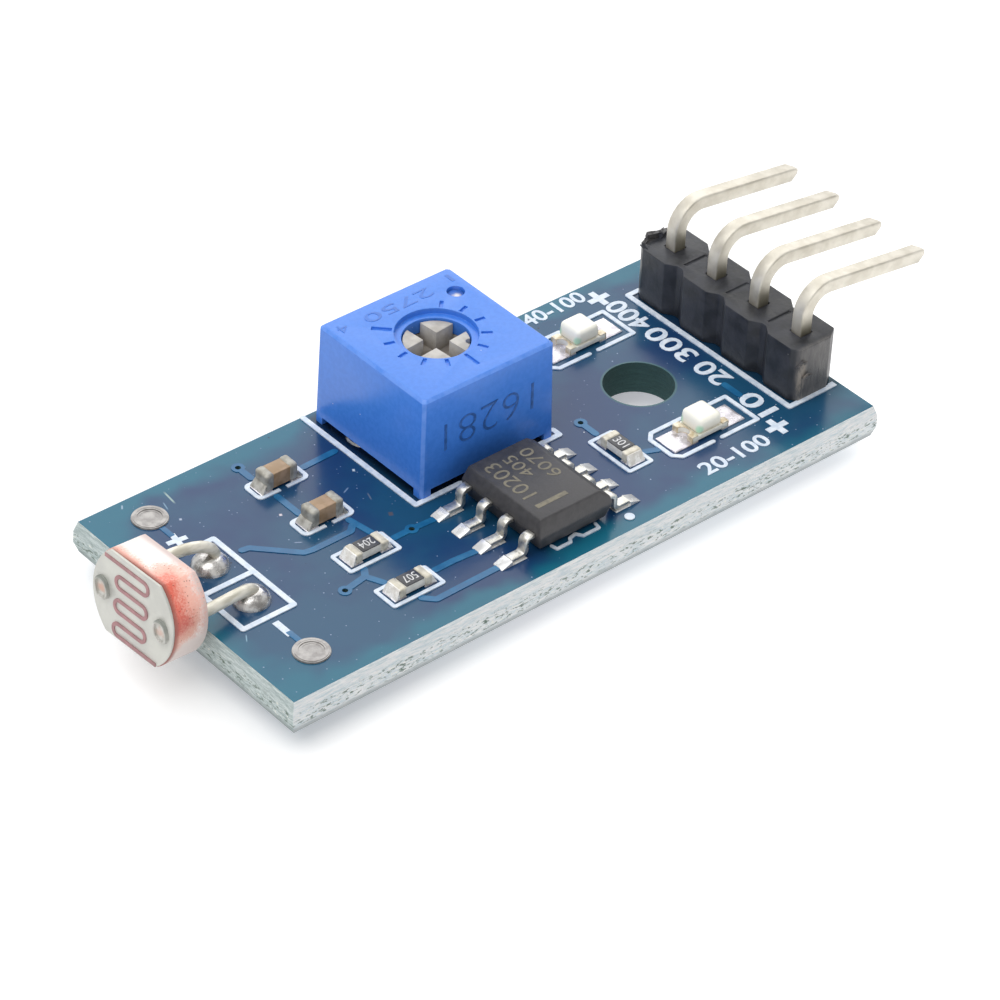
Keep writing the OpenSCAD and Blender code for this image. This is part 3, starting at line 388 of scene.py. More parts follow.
def scratched(tree, place, colour):
    """A colour with the mask's scratches and lint over it, which fade at their ends."""
    for x, y, angle, length, width, tone in SCRATCHES:
        turned = add(tree, "Mapping", {"Vector": place, "Location": (x, y, 0),
                                       "Rotation": (0, 0, math.radians(angle))}, vector_type="TEXTURE")
        along, across, _ = add(tree, "SeparateXYZ", {0: turned}).node.outputs
        far = add(tree, "Math", {0: along}, operation="ABSOLUTE")
        far = add(tree, "MapRange", {0: far, 1: length, 2: length * 0.4}, **SOFT)
        off = add(tree, "Math", {0: across}, operation="ABSOLUTE")
        off = add(tree, "MapRange", {0: off, 1: width * 1.6, 2: width * 0.6}, **SOFT)
        line = add(tree, "Math", {0: far, 1: off}, operation="MULTIPLY")
        colour = add(tree, "Mix", {0: line, 6: colour, 7: linear(tone)}, **COLOURS)
    return colour


def mask_colour(tree, place, look, inside):
    """Solder mask: navy over the copper pour, teal towards the edges, with dust and scratches."""
    low, high = BOARD
    # The blue drifts over about 4.5 mm
    cloudy = add(tree, "TexNoise", {"Vector": place, "Scale": 0.22, "Detail": 3.0})
    cloudy = add(tree, "MapRange", {0: cloudy, 1: 0.38, 2: 0.62}, **SOFT)
    copper = add(tree, "Mix", {0: cloudy, 6: look.mask_dark, 7: look.mask_light}, **COLOURS)
    # The pour's border is uneven, in bays of about 3 mm
    warp = add(tree, "TexNoise", {"Vector": place, "Scale": 0.35, "Detail": 2.0})
    shift = add(tree, "MapRange", {0: warp, 1: 0.3, 2: 0.7, 3: -0.5, 4: 0.5}, **SOFT)
    border = add(tree, "Math", {0: inside, 1: shift}, operation="ADD")
    poured = add(tree, "MapRange", {0: border, 1: 0.15, 2: 1.3}, **SOFT)
    # The pour stops short of the corners beside the photoresistor
    shift = add(tree, "MapRange", {0: warp, 1: 0.3, 2: 0.7, 3: -0.6, 4: 0.6}, **SOFT)
    for corner in ((low.x, high.y, high.z), (low.x, low.y, high.z)):
        away = add(tree, "VectorMath", {0: place, 1: corner}, out="Value", operation="DISTANCE")
        away = add(tree, "Math", {0: away, 1: shift}, operation="ADD")
        away = add(tree, "MapRange", {0: away, 1: 1.2, 2: 3.4}, **SOFT)
        poured = add(tree, "Math", {0: poured, 1: away}, operation="MULTIPLY")
    mask = add(tree, "Mix", {0: poured, 6: look.mask_bare, 7: copper}, **COLOURS)
    # Fine dust in drifts, then single grains of dust and grit and dark pits, each given by its
    # colour, its spacing and radius in millimetres and how many places have one
    dusty = speckled(tree, place, mask, "9FB2D0", 0.3, 0.04, 0.45)
    drift = add(tree, "MapRange", {0: warp, 1: 0.4, 2: 0.6, 3: 0.25, 4: 0.85}, **SOFT)
    mask = add(tree, "Mix", {0: drift, 6: mask, 7: dusty}, **COLOURS)
    for grain in (("D5DCE6", 1.1, 0.05, 0.35), ("4A4644", 1.9, 0.1, 0.16), ("0C1E3C", 0.9, 0.06, 0.25)):
        mask = speckled(tree, place, mask, *grain)
    return scratched(tree, place, mask)


def snapped_colour(tree, place, cloth, facing):
    """Snapped laminate: layers of glass cloth, torn and flecked along the ridge, with painted light on
    its long sides and painted shade greying its foot.
    """
    threads = add(tree, "MapRange", {0: cloth, 1: 0.36, 2: 0.62}, **SOFT)
    # Painted light: the long sides get paler colours than the short ends, as if lit more
    shaded_end_colour = add(tree, "Mix", {0: threads, 6: linear("A6B7B6"), 7: linear("E0EAE9")}, **COLOURS)
    long_side = add(tree, "Mix", {0: threads, 6: linear("D2E0E6"), 7: linear("FFFFFF")}, **COLOURS)
    lit_long_share = add(tree, "MapRange", {0: facing, 1: 0.4, 2: 0.8}, **SOFT)
    snapped = add(tree, "Mix", {0: lit_long_share, 6: shaded_end_colour, 7: long_side}, **COLOURS)
    # Torn flecks are about 0.3 mm long and 0.12 mm high
    torn = add(tree, "Mapping", {"Vector": place, "Scale": (3.2, 3.2, 8.0)}, vector_type="POINT")
    flecks = add(tree, "TexNoise", {"Vector": torn, "Scale": 1.0, "Detail": 5.0, "Roughness": 0.65})
    z = add(tree, "SeparateXYZ", {0: place}, out=2)
    above = add(tree, "MapRange", {0: z, 1: 0.2, 2: 0.5}, **SOFT)
    below = add(tree, "MapRange", {0: z, 1: 1.15, 2: 0.9}, **SOFT)
    ridge = add(tree, "Math", {0: above, 1: below}, operation="MULTIPLY")
    for start, end, tone in ((0.47, 0.38, "76887E"), (0.6, 0.65, "FBFCF4")):
        fleck = add(tree, "MapRange", {0: flecks, 1: start, 2: end}, **SOFT)
        fleck = add(tree, "Math", {0: fleck, 1: ridge}, operation="MULTIPLY")
        snapped = add(tree, "Mix", {0: fleck, 6: snapped, 7: linear(tone)}, **COLOURS)
    # Painted shade: the colour greys towards the foot of the edge
    foot = add(tree, "MapRange", {0: z, 1: 0.5, 2: 0.05, 3: 0.0, 4: 0.6}, **SOFT)
    return add(tree, "Mix", {0: foot, 6: snapped, 7: linear("7E898B")}, **COLOURS)


def board_finish(look):
    """Glass-epoxy laminate under a glossy blue solder mask, scored and snapped at its edges."""
    # The mask is a clear glossy varnish: navy over the copper pour, teal towards the edges where
    # only laminate lies below, with dust on it. The snapped edge is matt, pale and streaked by
    # the layers of glass cloth, and its ridge is torn and flecked.
    material, tree, shader, place = begin("Glass-epoxy board", Specular_IOR_Level=0.4)
    x, y, _ = add(tree, "SeparateXYZ", {0: place}).node.outputs
    low, high = BOARD
    # Distance inside the board's outline
    inside = add(tree, "Math", {0: x, 1: low.x}, operation="SUBTRACT")
    for one, other in ((high.x, x), (y, low.y), (high.y, y)):
        side = add(tree, "Math", {0: one, 1: other}, operation="SUBTRACT")
        inside = add(tree, "Math", {0: inside, 1: side}, operation="MINIMUM")
    mask = mask_colour(tree, place, look, inside)
    # Painted shade: the mask darkens round the foot of the trimmer and the header, which shade it
    for node, shade_depth in (("trimmer_housing", 0.85), ("header_block", 0.6)):
        foot_low, foot_high = [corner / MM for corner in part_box(node)]
        off = add(tree, "VectorMath", {0: place, 1: (foot_low + foot_high) / 2}, operation="SUBTRACT")
        off = add(tree, "VectorMath", {0: off}, operation="ABSOLUTE")
        off = add(tree, "VectorMath", {0: off, 1: (foot_high - foot_low) / 2}, operation="SUBTRACT")
        off_x, off_y, _ = add(tree, "SeparateXYZ", {0: off}).node.outputs
        outside = add(tree, "Math", {0: off_x, 1: off_y}, operation="MAXIMUM")
        share = add(tree, "MapRange", {0: outside, 1: 0.45, 2: -0.15, 3: 0.0, 4: shade_depth}, **SOFT)
        mask = add(tree, "Mix", {0: share, 6: mask, 7: linear("0A1424")}, **COLOURS)
    # Bare laminate round the mounting hole, whose axis goes through the origin
    level = add(tree, "CombineXYZ", {0: x, 1: y})
    radius = add(tree, "VectorMath", {0: level}, out="Value", operation="LENGTH")
    bare = add(tree, "MapRange", {0: radius, 1: 1.62, 2: 1.54}, **SOFT)
    mask = add(tree, "Mix", {0: bare, 6: mask, 7: linear("335F68")}, **COLOURS)
    # Upright faces show the cloth, its threads 0.8 mm long in layers of 0.07 mm: snapped at the
    # outline, dark teal on the walls of the holes
    layers = add(tree, "Mapping", {"Vector": place, "Scale": (1.3, 1.3, 14.0)}, vector_type="POINT")
    cloth = add(tree, "TexNoise", {"Vector": layers, "Scale": 1.0, "Detail": 7.0, "Roughness": 0.8})
    facing = add(tree, "VectorMath", {0: add(tree, "NewGeometry", out="Normal")}, operation="ABSOLUTE")
    _, sideways, upwards = add(tree, "SeparateXYZ", {0: facing}).node.outputs
    snapped = snapped_colour(tree, place, cloth, sideways)
    drilled = add(tree, "Mix", {0: cloth, 6: linear("1B3437"), 7: linear("4C7270")}, **COLOURS)
    in_hole = add(tree, "Math", {0: inside, 1: 0.6}, operation="GREATER_THAN")
    wall = add(tree, "Mix", {0: in_hole, 6: snapped, 7: drilled}, **COLOURS)
    is_edge = add(tree, "MapRange", {0: upwards, 1: 0.8, 2: 0.6})
    colour = add(tree, "Mix", {0: is_edge, 6: mask, 7: wall}, **COLOURS)
    tree.links.new(colour, shader.inputs["Base Color"])
    roughness = add(tree, "MapRange", {0: is_edge, 3: look.mask_roughness, 4: 0.85})
    tree.links.new(roughness, shader.inputs["Roughness"])
    # The varnish ripples over about 0.8 mm, and the cloth stands out in threads
    ripple = add(tree, "TexNoise", {"Vector": place, "Scale": 1.3, "Detail": 2.0})
    height = add(tree, "Mix", {0: is_edge, 2: ripple, 3: cloth}, data_type="FLOAT")
    depth = add(tree, "MapRange", {0: is_edge, 3: 0.005 * MM, 4: 0.1 * MM})
    bump = add(tree, "Bump", {"Height": height, "Distance": depth})
    tree.links.new(bump, shader.inputs["Normal"])
    return material


def ceramic_finish(front, normal, across):
    """Sintered alumina disc, flushed red by its coating from the front rim backwards."""
    # The coat is a sprayed film: dense behind the front rim on the near side, thinning
    # backwards and round to the far side and the underside, with dark grains in it.
    material, tree, shader, place = begin("Flushed alumina", Roughness=0.45)
    up = normal.cross(across)
    from_front = add(tree, "VectorMath", {0: place, 1: front}, operation="SUBTRACT")
    behind = add(tree, "VectorMath", {0: from_front, 1: -normal}, out="Value", operation="DOT_PRODUCT")
    # How far round to the near side and slightly up a point lies, and how far down, from -1 to 1
    centred = add(tree, "VectorMath", {0: place, 1: front - 0.8 * normal}, operation="SUBTRACT")
    outward = add(tree, "VectorMath", {0: centred}, operation="NORMALIZE")
    aim = (across * 0.97 + up * 0.24).normalized()
    around = add(tree, "VectorMath", {0: outward, 1: aim}, out="Value", operation="DOT_PRODUCT")
    lower = add(tree, "VectorMath", {0: outward, 1: -up}, out="Value", operation="DOT_PRODUCT")
    # How dense the film is: it fades backwards, away from the near side and below
    backwards = add(tree, "MapRange", {0: behind, 1: 2.3, 2: 0.0}, **SOFT)
    near_side = add(tree, "MapRange", {0: around, 1: 0.12, 2: 0.88}, **SOFT)
    not_below = add(tree, "MapRange", {0: lower, 1: 0.34, 2: -0.16}, **SOFT)
    side = add(tree, "Math", {0: near_side, 1: not_below}, operation="MULTIPLY")
    share = add(tree, "Math", {0: backwards, 1: side}, operation="MULTIPLY")
    # A narrow flush runs on behind the rim to the far side
    at_rim = add(tree, "MapRange", {0: behind, 1: 0.75, 2: 0.1, 3: 0.0, 4: 0.62}, **SOFT)
    far_round = add(tree, "MapRange", {0: around, 1: -1.0, 2: 0.0}, **SOFT)
    above = add(tree, "MapRange", {0: lower, 1: 0.45, 2: 0.1}, **SOFT)
    flush = add(tree, "Math", {0: at_rim, 1: far_round}, operation="MULTIPLY")
    flush = add(tree, "Math", {0: flush, 1: above}, operation="MULTIPLY")
    share = add(tree, "Math", {0: share, 1: flush}, operation="MAXIMUM")
    # Blotches of 0.6 mm and grains of 0.08 mm make it uneven wherever there is some
    blotch = add(tree, "TexNoise", {"Vector": place, "Scale": 1.6, "Detail": 4.0, "Roughness": 0.55})
    grain = add(tree, "TexNoise", {"Vector": place, "Scale": 13.0, "Detail": 3.0, "Roughness": 0.6})
    coarse = add(tree, "MapRange", {0: blotch, 1: 0.3, 2: 0.7, 3: -0.1, 4: 0.1}, **SOFT)
    fine = add(tree, "MapRange", {0: grain, 1: 0.3, 2: 0.7, 3: -0.1, 4: 0.1}, **SOFT)
    uneven = add(tree, "Math", {0: coarse, 1: fine}, operation="ADD")
    touched = add(tree, "MapRange", {0: share, 1: 0.0, 2: 0.25}, **SOFT)
    uneven = add(tree, "Math", {0: uneven, 1: touched}, operation="MULTIPLY")
    share = add(tree, "Math", {0: share, 1: uneven}, operation="ADD")
    # Bare ceramic with painted light and shade: whitest on the lit near side, and duller at the back and
    # below as painted shade
    coat = linear("E9E2DE")
    for field, start, end, tone in ((around, -0.6, 0.1, "FBF6F3"), (behind, 1.3, 1.6, "D6C3BE"),
                                    (lower, -0.1, 0.3, "D9CBC6")):
        part = add(tree, "MapRange", {0: field, 1: start, 2: end}, **SOFT)
        coat = add(tree, "Mix", {0: part, 6: coat, 7: linear(tone)}, **COLOURS)
    # The film over it: pink where thin and red where dense, both browner lower down as painted shade
    shaded_low = add(tree, "MapRange", {0: lower, 1: -0.5, 2: -0.1}, **SOFT)
    for start, end, tone, shaded_tone in ((0.02, 0.5, "FABFAE", "DDA999"), (0.5, 1.0, "E46C58", "C86458")):
        film = add(tree, "Mix", {0: shaded_low, 6: linear(tone), 7: linear(shaded_tone)}, **COLOURS)
        part = add(tree, "MapRange", {0: share, 1: start, 2: end}, **SOFT)
        coat = add(tree, "Mix", {0: part, 6: coat, 7: film}, **COLOURS)
    grained = speckled(tree, place, coat, "8E4A40", 0.12, 0.034, 0.45)
    part = add(tree, "MapRange", {0: share, 1: 0.05, 2: 0.35, 3: 0.0, 4: 0.75}, **SOFT)
    coat = add(tree, "Mix", {0: part, 6: coat, 7: grained}, **COLOURS)
    # Fired brown along the front rim, less so at the far side
    front_rim = add(tree, "MapRange", {0: behind, 1: 0.36, 2: 0.12}, **SOFT)
    part = add(tree, "MapRange", {0: around, 1: -0.7, 2: 0.5, 3: 0.35, 4: 0.9}, **SOFT)
    part = add(tree, "Math", {0: front_rim, 1: part}, operation="MULTIPLY")
    coat = add(tree, "Mix", {0: part, 6: coat, 7: linear("96584E")}, **COLOURS)
    tree.links.new(coat, shader.inputs["Base Color"])
    bump = add(tree, "Bump", {"Height": grain, "Distance": 0.01 * MM})
    tree.links.new(bump, shader.inputs["Normal"])
    return material


def centred_finish(name, centre, reach, middle, light, dark, edge=None, **sockets):
    """A finish that turns from one colour at a point into another within a reach in millimetres."""
    material, tree, shader, place = begin(name, **sockets)
    away = add(tree, "VectorMath", {0: place, 1: centre}, out="Value", operation="DISTANCE")
    grain = add(tree, "TexNoise", {"Vector": place, "Scale": 3.0, "Detail": 3.0})
    share = add(tree, "MapRange", {0: grain, 1: 0.35, 2: 0.65}, **SOFT)
    around = add(tree, "Mix", {0: share, 6: linear(dark), 7: linear(light)}, **COLOURS)
    # The middle's border is ragged, like the grain of about 0.3 mm around it
    shift = add(tree, "MapRange", {0: grain, 1: 0.3, 2: 0.7, 3: -0.2 * reach, 4: 0.2 * reach}, **SOFT)
    ragged = add(tree, "Math", {0: away, 1: shift}, operation="ADD")
    share = add(tree, "MapRange", {0: ragged, 1: reach, 2: 0.1 * reach, 3: 0.0, 4: 0.8}, **SOFT)
    colour = add(tree, "Mix", {0: share, 6: around, 7: linear(middle)}, **COLOURS)
    if edge:
        # Painted shade: its edge is darkened on the side away from a second point, the lit side
        tone, point = edge
        off = add(tree, "VectorMath", {0: place, 1: point}, out="Value", operation="DISTANCE")
        share = add(tree, "MapRange", {0: off, 1: 0.44, 2: 0.56}, **SOFT)
        colour = add(tree, "Mix", {0: share, 6: colour, 7: linear(tone)}, **COLOURS)
    tree.links.new(colour, shader.inputs["Base Color"])
    return material


def rotor_finish(top, bottom):
    """Warm grey moulded plastic, turning darker and browner from a top down to a bottom height in the
    cross.
    """
    # Satin and cloudy over about 0.6 mm. The dark brown is thickest at the bottom.
    material, tree, shader, place = begin("Grey moulded rotor", Roughness=0.5)
    z = add(tree, "SeparateXYZ", {0: place}, out=2)
    grain = add(tree, "TexNoise", {"Vector": place, "Scale": 1.8, "Detail": 4.0})
    share = add(tree, "MapRange", {0: grain, 1: 0.35, 2: 0.65}, **SOFT)
    clean = add(tree, "Mix", {0: share, 6: linear("AFAAA2"), 7: linear("C6C2BA")}, **COLOURS)
    deep = add(tree, "MapRange", {0: z, 1: top - 0.1, 2: bottom}, **SOFT)
    patchy = add(tree, "MapRange", {0: grain, 1: 0.3, 2: 0.6, 3: 1.0, 4: 0.75}, **SOFT)
    darker_share = add(tree, "Math", {0: deep, 1: patchy}, operation="MULTIPLY")
    colour = add(tree, "Mix", {0: darker_share, 6: clean, 7: linear("6A6054")}, **COLOURS)
    tree.links.new(colour, shader.inputs["Base Color"])
    return material


def lens_finish(middle, corner):
    """Clear lamp epoxy over a white case, green where polarity marks show through its corners."""
    # The epoxy scatters light inside and is warmer towards its foot; its faint glow is painted light, as
    # the lamp is not lit. The corner is given by how far it lies from the middle along and across, and by
    # its height.
    material, tree, shader, place = begin("Lamp epoxy", Emission_Strength=0.08, IOR=1.5, Roughness=0.25)
    shader.inputs["Emission Color"].default_value = linear("FFFDF0")
    height = add(tree, "SeparateXYZ", {0: place}, out=2)
    share = add(tree, "MapRange", {0: height, 1: corner.z - 0.22, 2: corner.z + 0.3}, **SOFT)
    colour = add(tree, "Mix", {0: share, 6: linear("E3DAC2"), 7: linear("F8F6EA")}, **COLOURS)
    for side in (-1, 1):
        spot = Vector((middle.x - corner.x, middle.y + side * corner.y, corner.z))
        away = add(tree, "VectorMath", {0: place, 1: spot}, out="Value", operation="DISTANCE")
        share = add(tree, "MapRange", {0: away, 1: 0.3, 2: 0.12, 3: 0.0, 4: 0.75}, **SOFT)
        colour = add(tree, "Mix", {0: share, 6: colour, 7: linear("8FD9B4")}, **COLOURS)
    tree.links.new(colour, shader.inputs["Base Color"])
    return material


def header_finish(streak, top):
    """Moulded black nylon, hazy on top and torn brown-grey where the strip was snapped."""
    # Nylon takes a satin skin from its mould, cloudy over 0.7 mm, and where it breaks it whitens
    # and turns matt. The streak is given by its place along X, the block by its top's height.
    material, tree, shader, place = begin("Black moulded nylon")
    x, y, z = add(tree, "SeparateXYZ", {0: place}).node.outputs
    cloudy = add(tree, "TexNoise", {"Vector": place, "Scale": 1.4, "Detail": 4.0})
    share = add(tree, "MapRange", {0: cloudy, 1: 0.35, 2: 0.65}, **SOFT)
    colour = add(tree, "Mix", {0: share, 6: linear("27292E"), 7: linear("36383F")}, **COLOURS)
    colour = speckled(tree, place, colour, "8E8C8A", 0.55, 0.035, 0.18)
    # Both snapped ends have upright streaks about 1.1 mm long and 0.25 mm wide
    streaks = add(tree, "Mapping", {"Vector": place, "Scale": (4.0, 4.0, 0.9)}, vector_type="POINT")
    torn = add(tree, "TexNoise", {"Vector": streaks, "Scale": 1.0, "Detail": 5.0, "Roughness": 0.7})
    end = add(tree, "Math", {0: y}, operation="ABSOLUTE")
    end = add(tree, "MapRange", {0: end, 1: 4.6, 2: 4.86}, **SOFT)
    patchy = add(tree, "MapRange", {0: torn, 1: 0.3, 2: 0.65, 3: 0.45, 4: 1.0}, **SOFT)
    snapped = add(tree, "Math", {0: end, 1: patchy}, operation="MULTIPLY")
    colour = add(tree, "Mix", {0: snapped, 6: colour, 7: linear("62605F")}, **COLOURS)
    # One paler torn streak runs down beside the near end's corner
    beside = add(tree, "Math", {0: x, 1: streak}, operation="SUBTRACT")
    beside = add(tree, "Math", {0: beside}, operation="ABSOLUTE")
    beside = add(tree, "MapRange", {0: beside, 1: 0.3, 2: 0.05}, **SOFT)
    below = add(tree, "MapRange", {0: z, 1: top - 0.45, 2: top - 0.8}, **SOFT)
    ragged = add(tree, "MapRange", {0: torn, 1: 0.42, 2: 0.6}, **SOFT)
    pale = snapped
    for part in (beside, below, ragged):
        pale = add(tree, "Math", {0: pale, 1: part}, operation="MULTIPLY")
    colour = add(tree, "Mix", {0: pale, 6: colour, 7: linear("8F877E")}, **COLOURS)
    tree.links.new(colour, shader.inputs["Base Color"])
    roughness = add(tree, "MapRange", {0: cloudy, 1: 0.35, 2: 0.65, 3: 0.38, 4: 0.5}, **SOFT)
    tree.links.new(roughness, shader.inputs["Roughness"])
    height = add(tree, "Mix", {0: snapped, 2: cloudy, 3: torn}, data_type="FLOAT")
    bump = add(tree, "Bump", {"Height": height, "Distance": 0.06 * MM})
    tree.links.new(bump, shader.inputs["Normal"])
    return material


# Adjustable values


class BoardLook(bpy.types.PropertyGroup):
    """Colours of the bare board and its prints, and how its edge is torn."""

    mask_light: bpy.props.FloatVectorProperty(
        name="Mask, light", description="Solder mask over copper, lighter part",
        default=linear("1B4D6E"), size=4, min=0.0, max=1.0, subtype="COLOR")
    mask_dark: bpy.props.FloatVectorProperty(
        name="Mask, dark", description="Solder mask over copper, darker part",
        default=linear("193B66"), size=4, min=0.0, max=1.0, subtype="COLOR")
    mask_bare: bpy.props.FloatVectorProperty(
        name="Mask, no copper", description="Solder mask over bare laminate",
        default=linear("12647C"), size=4, min=0.0, max=1.0, subtype="COLOR")
    mask_roughness: bpy.props.FloatProperty(
        name="Mask roughness", description="Roughness of the solder mask", default=0.2,
        min=0.0, max=1.0, subtype="FACTOR")
    ink: bpy.props.FloatVectorProperty(
        name="Ink", description="Printed legend",
        default=linear("E6EEF8"), size=4, min=0.0, max=1.0, subtype="COLOR")
    edge_tear: bpy.props.FloatProperty(
        name="Edge tear", description="How far the snapped ridge is torn in and out",
        default=0.05 * MM, unit="LENGTH", precision=5)


class Legend(bpy.types.PropertyGroup):
    """Plain numbers printed or moulded on the module, and their sizes."""

    pin_height: bpy.props.FloatProperty(
        name="Pin number height", description="Height of the numbers beside the header",
        default=1.0 * MM, unit="LENGTH", precision=5)
    lamp_height: bpy.props.FloatProperty(
        name="Lamp number height", description="Height of the numbers beside the lamps",
        default=0.8 * MM, unit="LENGTH", precision=5)
    ink_weight: bpy.props.FloatProperty(
        name="Stroke weight", description="How much the printed strokes are thickened",
        default=0.02, min=0.0, max=0.1)


class StageSetup(bpy.types.PropertyGroup):
    """Floor, lights and lens."""

    floor_colour: bpy.props.FloatVectorProperty(
        name="Floor", description="Colour of the floor",
        default=linear("E0E0E0"), size=4, min=0.0, max=1.0, subtype="COLOR")
    floor_glow: bpy.props.FloatProperty(
        name="Floor glow", description="Light that comes through the paper from below",
        default=0.32, min=0.0)
    # Painted light: extra floor glow that lifts the shadow at the near right side
    near_fill_glow: bpy.props.FloatProperty(
        name="Near glow", description="Light added to it at the near right side", default=0.28, min=0.0)
    key_power: bpy.props.FloatProperty(
        name="Overhead light", description="Power of the large overhead light",
        default=0.8, min=0.0, unit="POWER")
    back_power: bpy.props.FloatProperty(
        name="Back light", description="Power of the tall light behind the module",
        default=1.7, min=0.0, unit="POWER")
    world_strength: bpy.props.FloatProperty(
        name="Surround", description="Strength of the white surround", default=0.55, min=0.0)
    lens: bpy.props.FloatProperty(
        name="Lens", description="Focal length", default=147.209, unit="CAMERA")


# Pieces


class SENSOR_OT_board(bpy.types.Operator):
    """Finish of the board, its traces, legend lines and test pads"""

    bl_idname = "sensor.board"
    bl_label = "Board"

    def execute(self, context):
        look = context.scene.sensor_board
        piece = merged("circuit_board")
        low, high = BOARD
        # The least length of a side's line, and the heights that its ridge lies between
        side_length, ridge_low, ridge_high = 5, 0.2, 1.3

        def reach(point):
            """How far inside the board's outermost line a point lies."""
            x, y = point.x / MM, point.y / MM
            return min(x - low.x, high.x - x, y - low.y, high.y - y)

        def long_side(edge):
            """Whether an edge runs along a side of the board."""
            ends = [piece.data.vertices[i].co for i in edge.vertices]
            level = abs(ends[0].z - ends[1].z) < 0.01 * MM
            return level and (ends[0] - ends[1]).length > side_length * MM and max(map(reach, ends)) < 0.2

        # The long lines of the ridge are cut into short stretches, and their points torn in and out
        pick(piece, "EDGE", long_side)
        bpy.ops.mesh.subdivide(number_cuts=90)
        pick(piece, "VERT", lambda point: (reach(point.co) < 0.05
                                           and ridge_low < point.co.z / MM < ridge_high))
        bpy.ops.transform.vertex_random(offset=look.edge_tear, uniform=0.0, normal=0.0, seed=4)
        bpy.ops.object.mode_set(mode="OBJECT")
        bpy.ops.object.shade_smooth_by_angle(angle=math.radians(25))
        settle(piece, "board_skin", board_finish(look), "circuit_board", hides=["circuit_board"])
        # Copper under the blue varnish shows as a lighter blue line
        copper = mottled("Masked copper", "226E9C", "185E8C", grain=0.8, rough=(0.18, 0.26))
        paint("copper_traces", copper)
        # Screen-printed epoxy ink: matt, slightly uneven white, with soft outer corners
        ink = mottled("Legend ink", look.ink, "CFDCEC", grain=0.3, rough=(0.5, 0.65), relief=0.01)
        least_line, corner_radius = 0.45, 0.13
        lines = merged("silkscreen")
        points, walls = lines.data.vertices, {}
        for wall in lines.data.polygons:
            for key in wall.edge_keys:
                walls.setdefault(key, []).append(wall)

        def length(wall):
            """The length of an upright wall seen from above."""
            ends = [points[i].co.xy for i in wall.vertices]
            return max((one - other).length for one in ends for other in ends)

        def outer_corner(edge):
            """Whether an edge is the upright outer corner of a printed frame."""
            ends, sides = [points[i].co for i in edge.vertices], walls[edge.key]
            if (ends[0] - ends[1]).xy.length > FINEST or len(sides) != 2:
                return False
            convex = (sides[1].center - sides[0].center).dot(sides[0].normal) < 0
            turned = sides[0].normal.angle(sides[1].normal) > math.radians(60)
            return convex and turned and min(map(length, sides)) > least_line * MM

        pick(lines, "EDGE", outer_corner)
        bpy.ops.mesh.bevel(offset=corner_radius * MM, segments=4)
        bpy.ops.object.mode_set(mode="OBJECT")
        settle(lines, "legend_lines", ink, "silkscreen", hides=["silkscreen"])
        # Hand-soldered tin: dull grey skin with darker flux specks
        dull = mottled("Dull solder", "B4B1AE", "8C8987", grain=0.4, rough=(0.32, 0.5), relief=0.014,
                       Metallic=0.7, dust=("6E6662", 0.45, 0.06, 0.3))
        pads_low, pads_high = [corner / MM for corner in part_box("test_pads")]
        radius = (pads_high.x - pads_low.x) / 2
        pad_x = pads_low.x + radius
        pad = dome(radius, ((0.03, 0.02), (0.04, 0.06), (0.02, 0.08), (-0.01, 0.08), (-0.03, 0.1),
                            (-0.01, 0.1)))
        # The short masked trace from a pad to the sign beside it
        trace = block((0.26, 0.8, 0.03), 0.01)
        for side, name in ((1, "far"), (-1, "near")):
            pad_y = side * (pads_high.y - radius)
            one_pad, one_trace = doubled(pad), doubled(trace)
            one_pad.location = Vector((pad_x, pad_y, BOARD_TOP)) * MM
            settle(one_pad, f"test_pad_{name}", dull, "test_pads",
                   hides=["test_pads"] if side < 0 else ())
            one_trace.location = Vector((pad_x + 0.02, pad_y - side * 1.05, BOARD_TOP + 0.01)) * MM
            settle(one_trace, f"pad_trace_{name}", copper, "copper_traces")
        bpy.data.objects.remove(pad)
        bpy.data.objects.remove(trace)
        return {"FINISHED"}


class SENSOR_OT_legend(bpy.types.Operator):
    """Plain numbers and signs printed on the board"""

    bl_idname = "sensor.legend"
    bl_label = "Legend"

    def execute(self, context):
        look, legend = context.scene.sensor_board, context.scene.sensor_legend
        # The same epoxy ink as the frames: matt, slightly uneven white
        ink = mottled("Printed numbers", look.ink, "CFDCEC", grain=0.3, rough=(0.5, 0.65), relief=0.01)
        top = BOARD_TOP
        pin_h, lamp_h = legend.pin_height / MM, legend.lamp_height / MM
        for words, width, y in (("10", 1.6, -4.0), ("20", 1.65, -1.28), ("300", 2.6, 1.27),
                                ("400", 2.25, 3.87)):
            lettering("pin_number_" + words, words, (width, pin_h), (2.9, y, top), ink, "silkscreen",
                      turn=(0, 0, 90), weight=legend.ink_weight)
        for name, words, width, middle in (("near", "20-100", 3.55, (-0.13, -5.9)),
                                           ("far", "40-100", 3.25, (0.68, 6.15))):
            lettering("lamp_number_" + name, words, (width, lamp_h), (*middle, top), ink, "silkscreen",
                      weight=legend.ink_weight)
        for name, mark, size, middle, turn in (
                ("near_plus", "+", (1.05, 1.05), (2.5, -5.6), 0),
                ("far_plus", "+", (1.05, 1.05), (2.7, 5.55), 0),
                ("cell_plus", "+", (0.88, 0.88), (-21.07, 3.33), -8),
                ("cell_minus", "-", (0.98, 0.3), (-21.1, -3.4), 90)):
            lettering("sign_" + name, mark, size, (*middle, top), ink, "silkscreen", turn=(0, 0, turn),
                      weight=1.8 * legend.ink_weight)
        return {"FINISHED"}


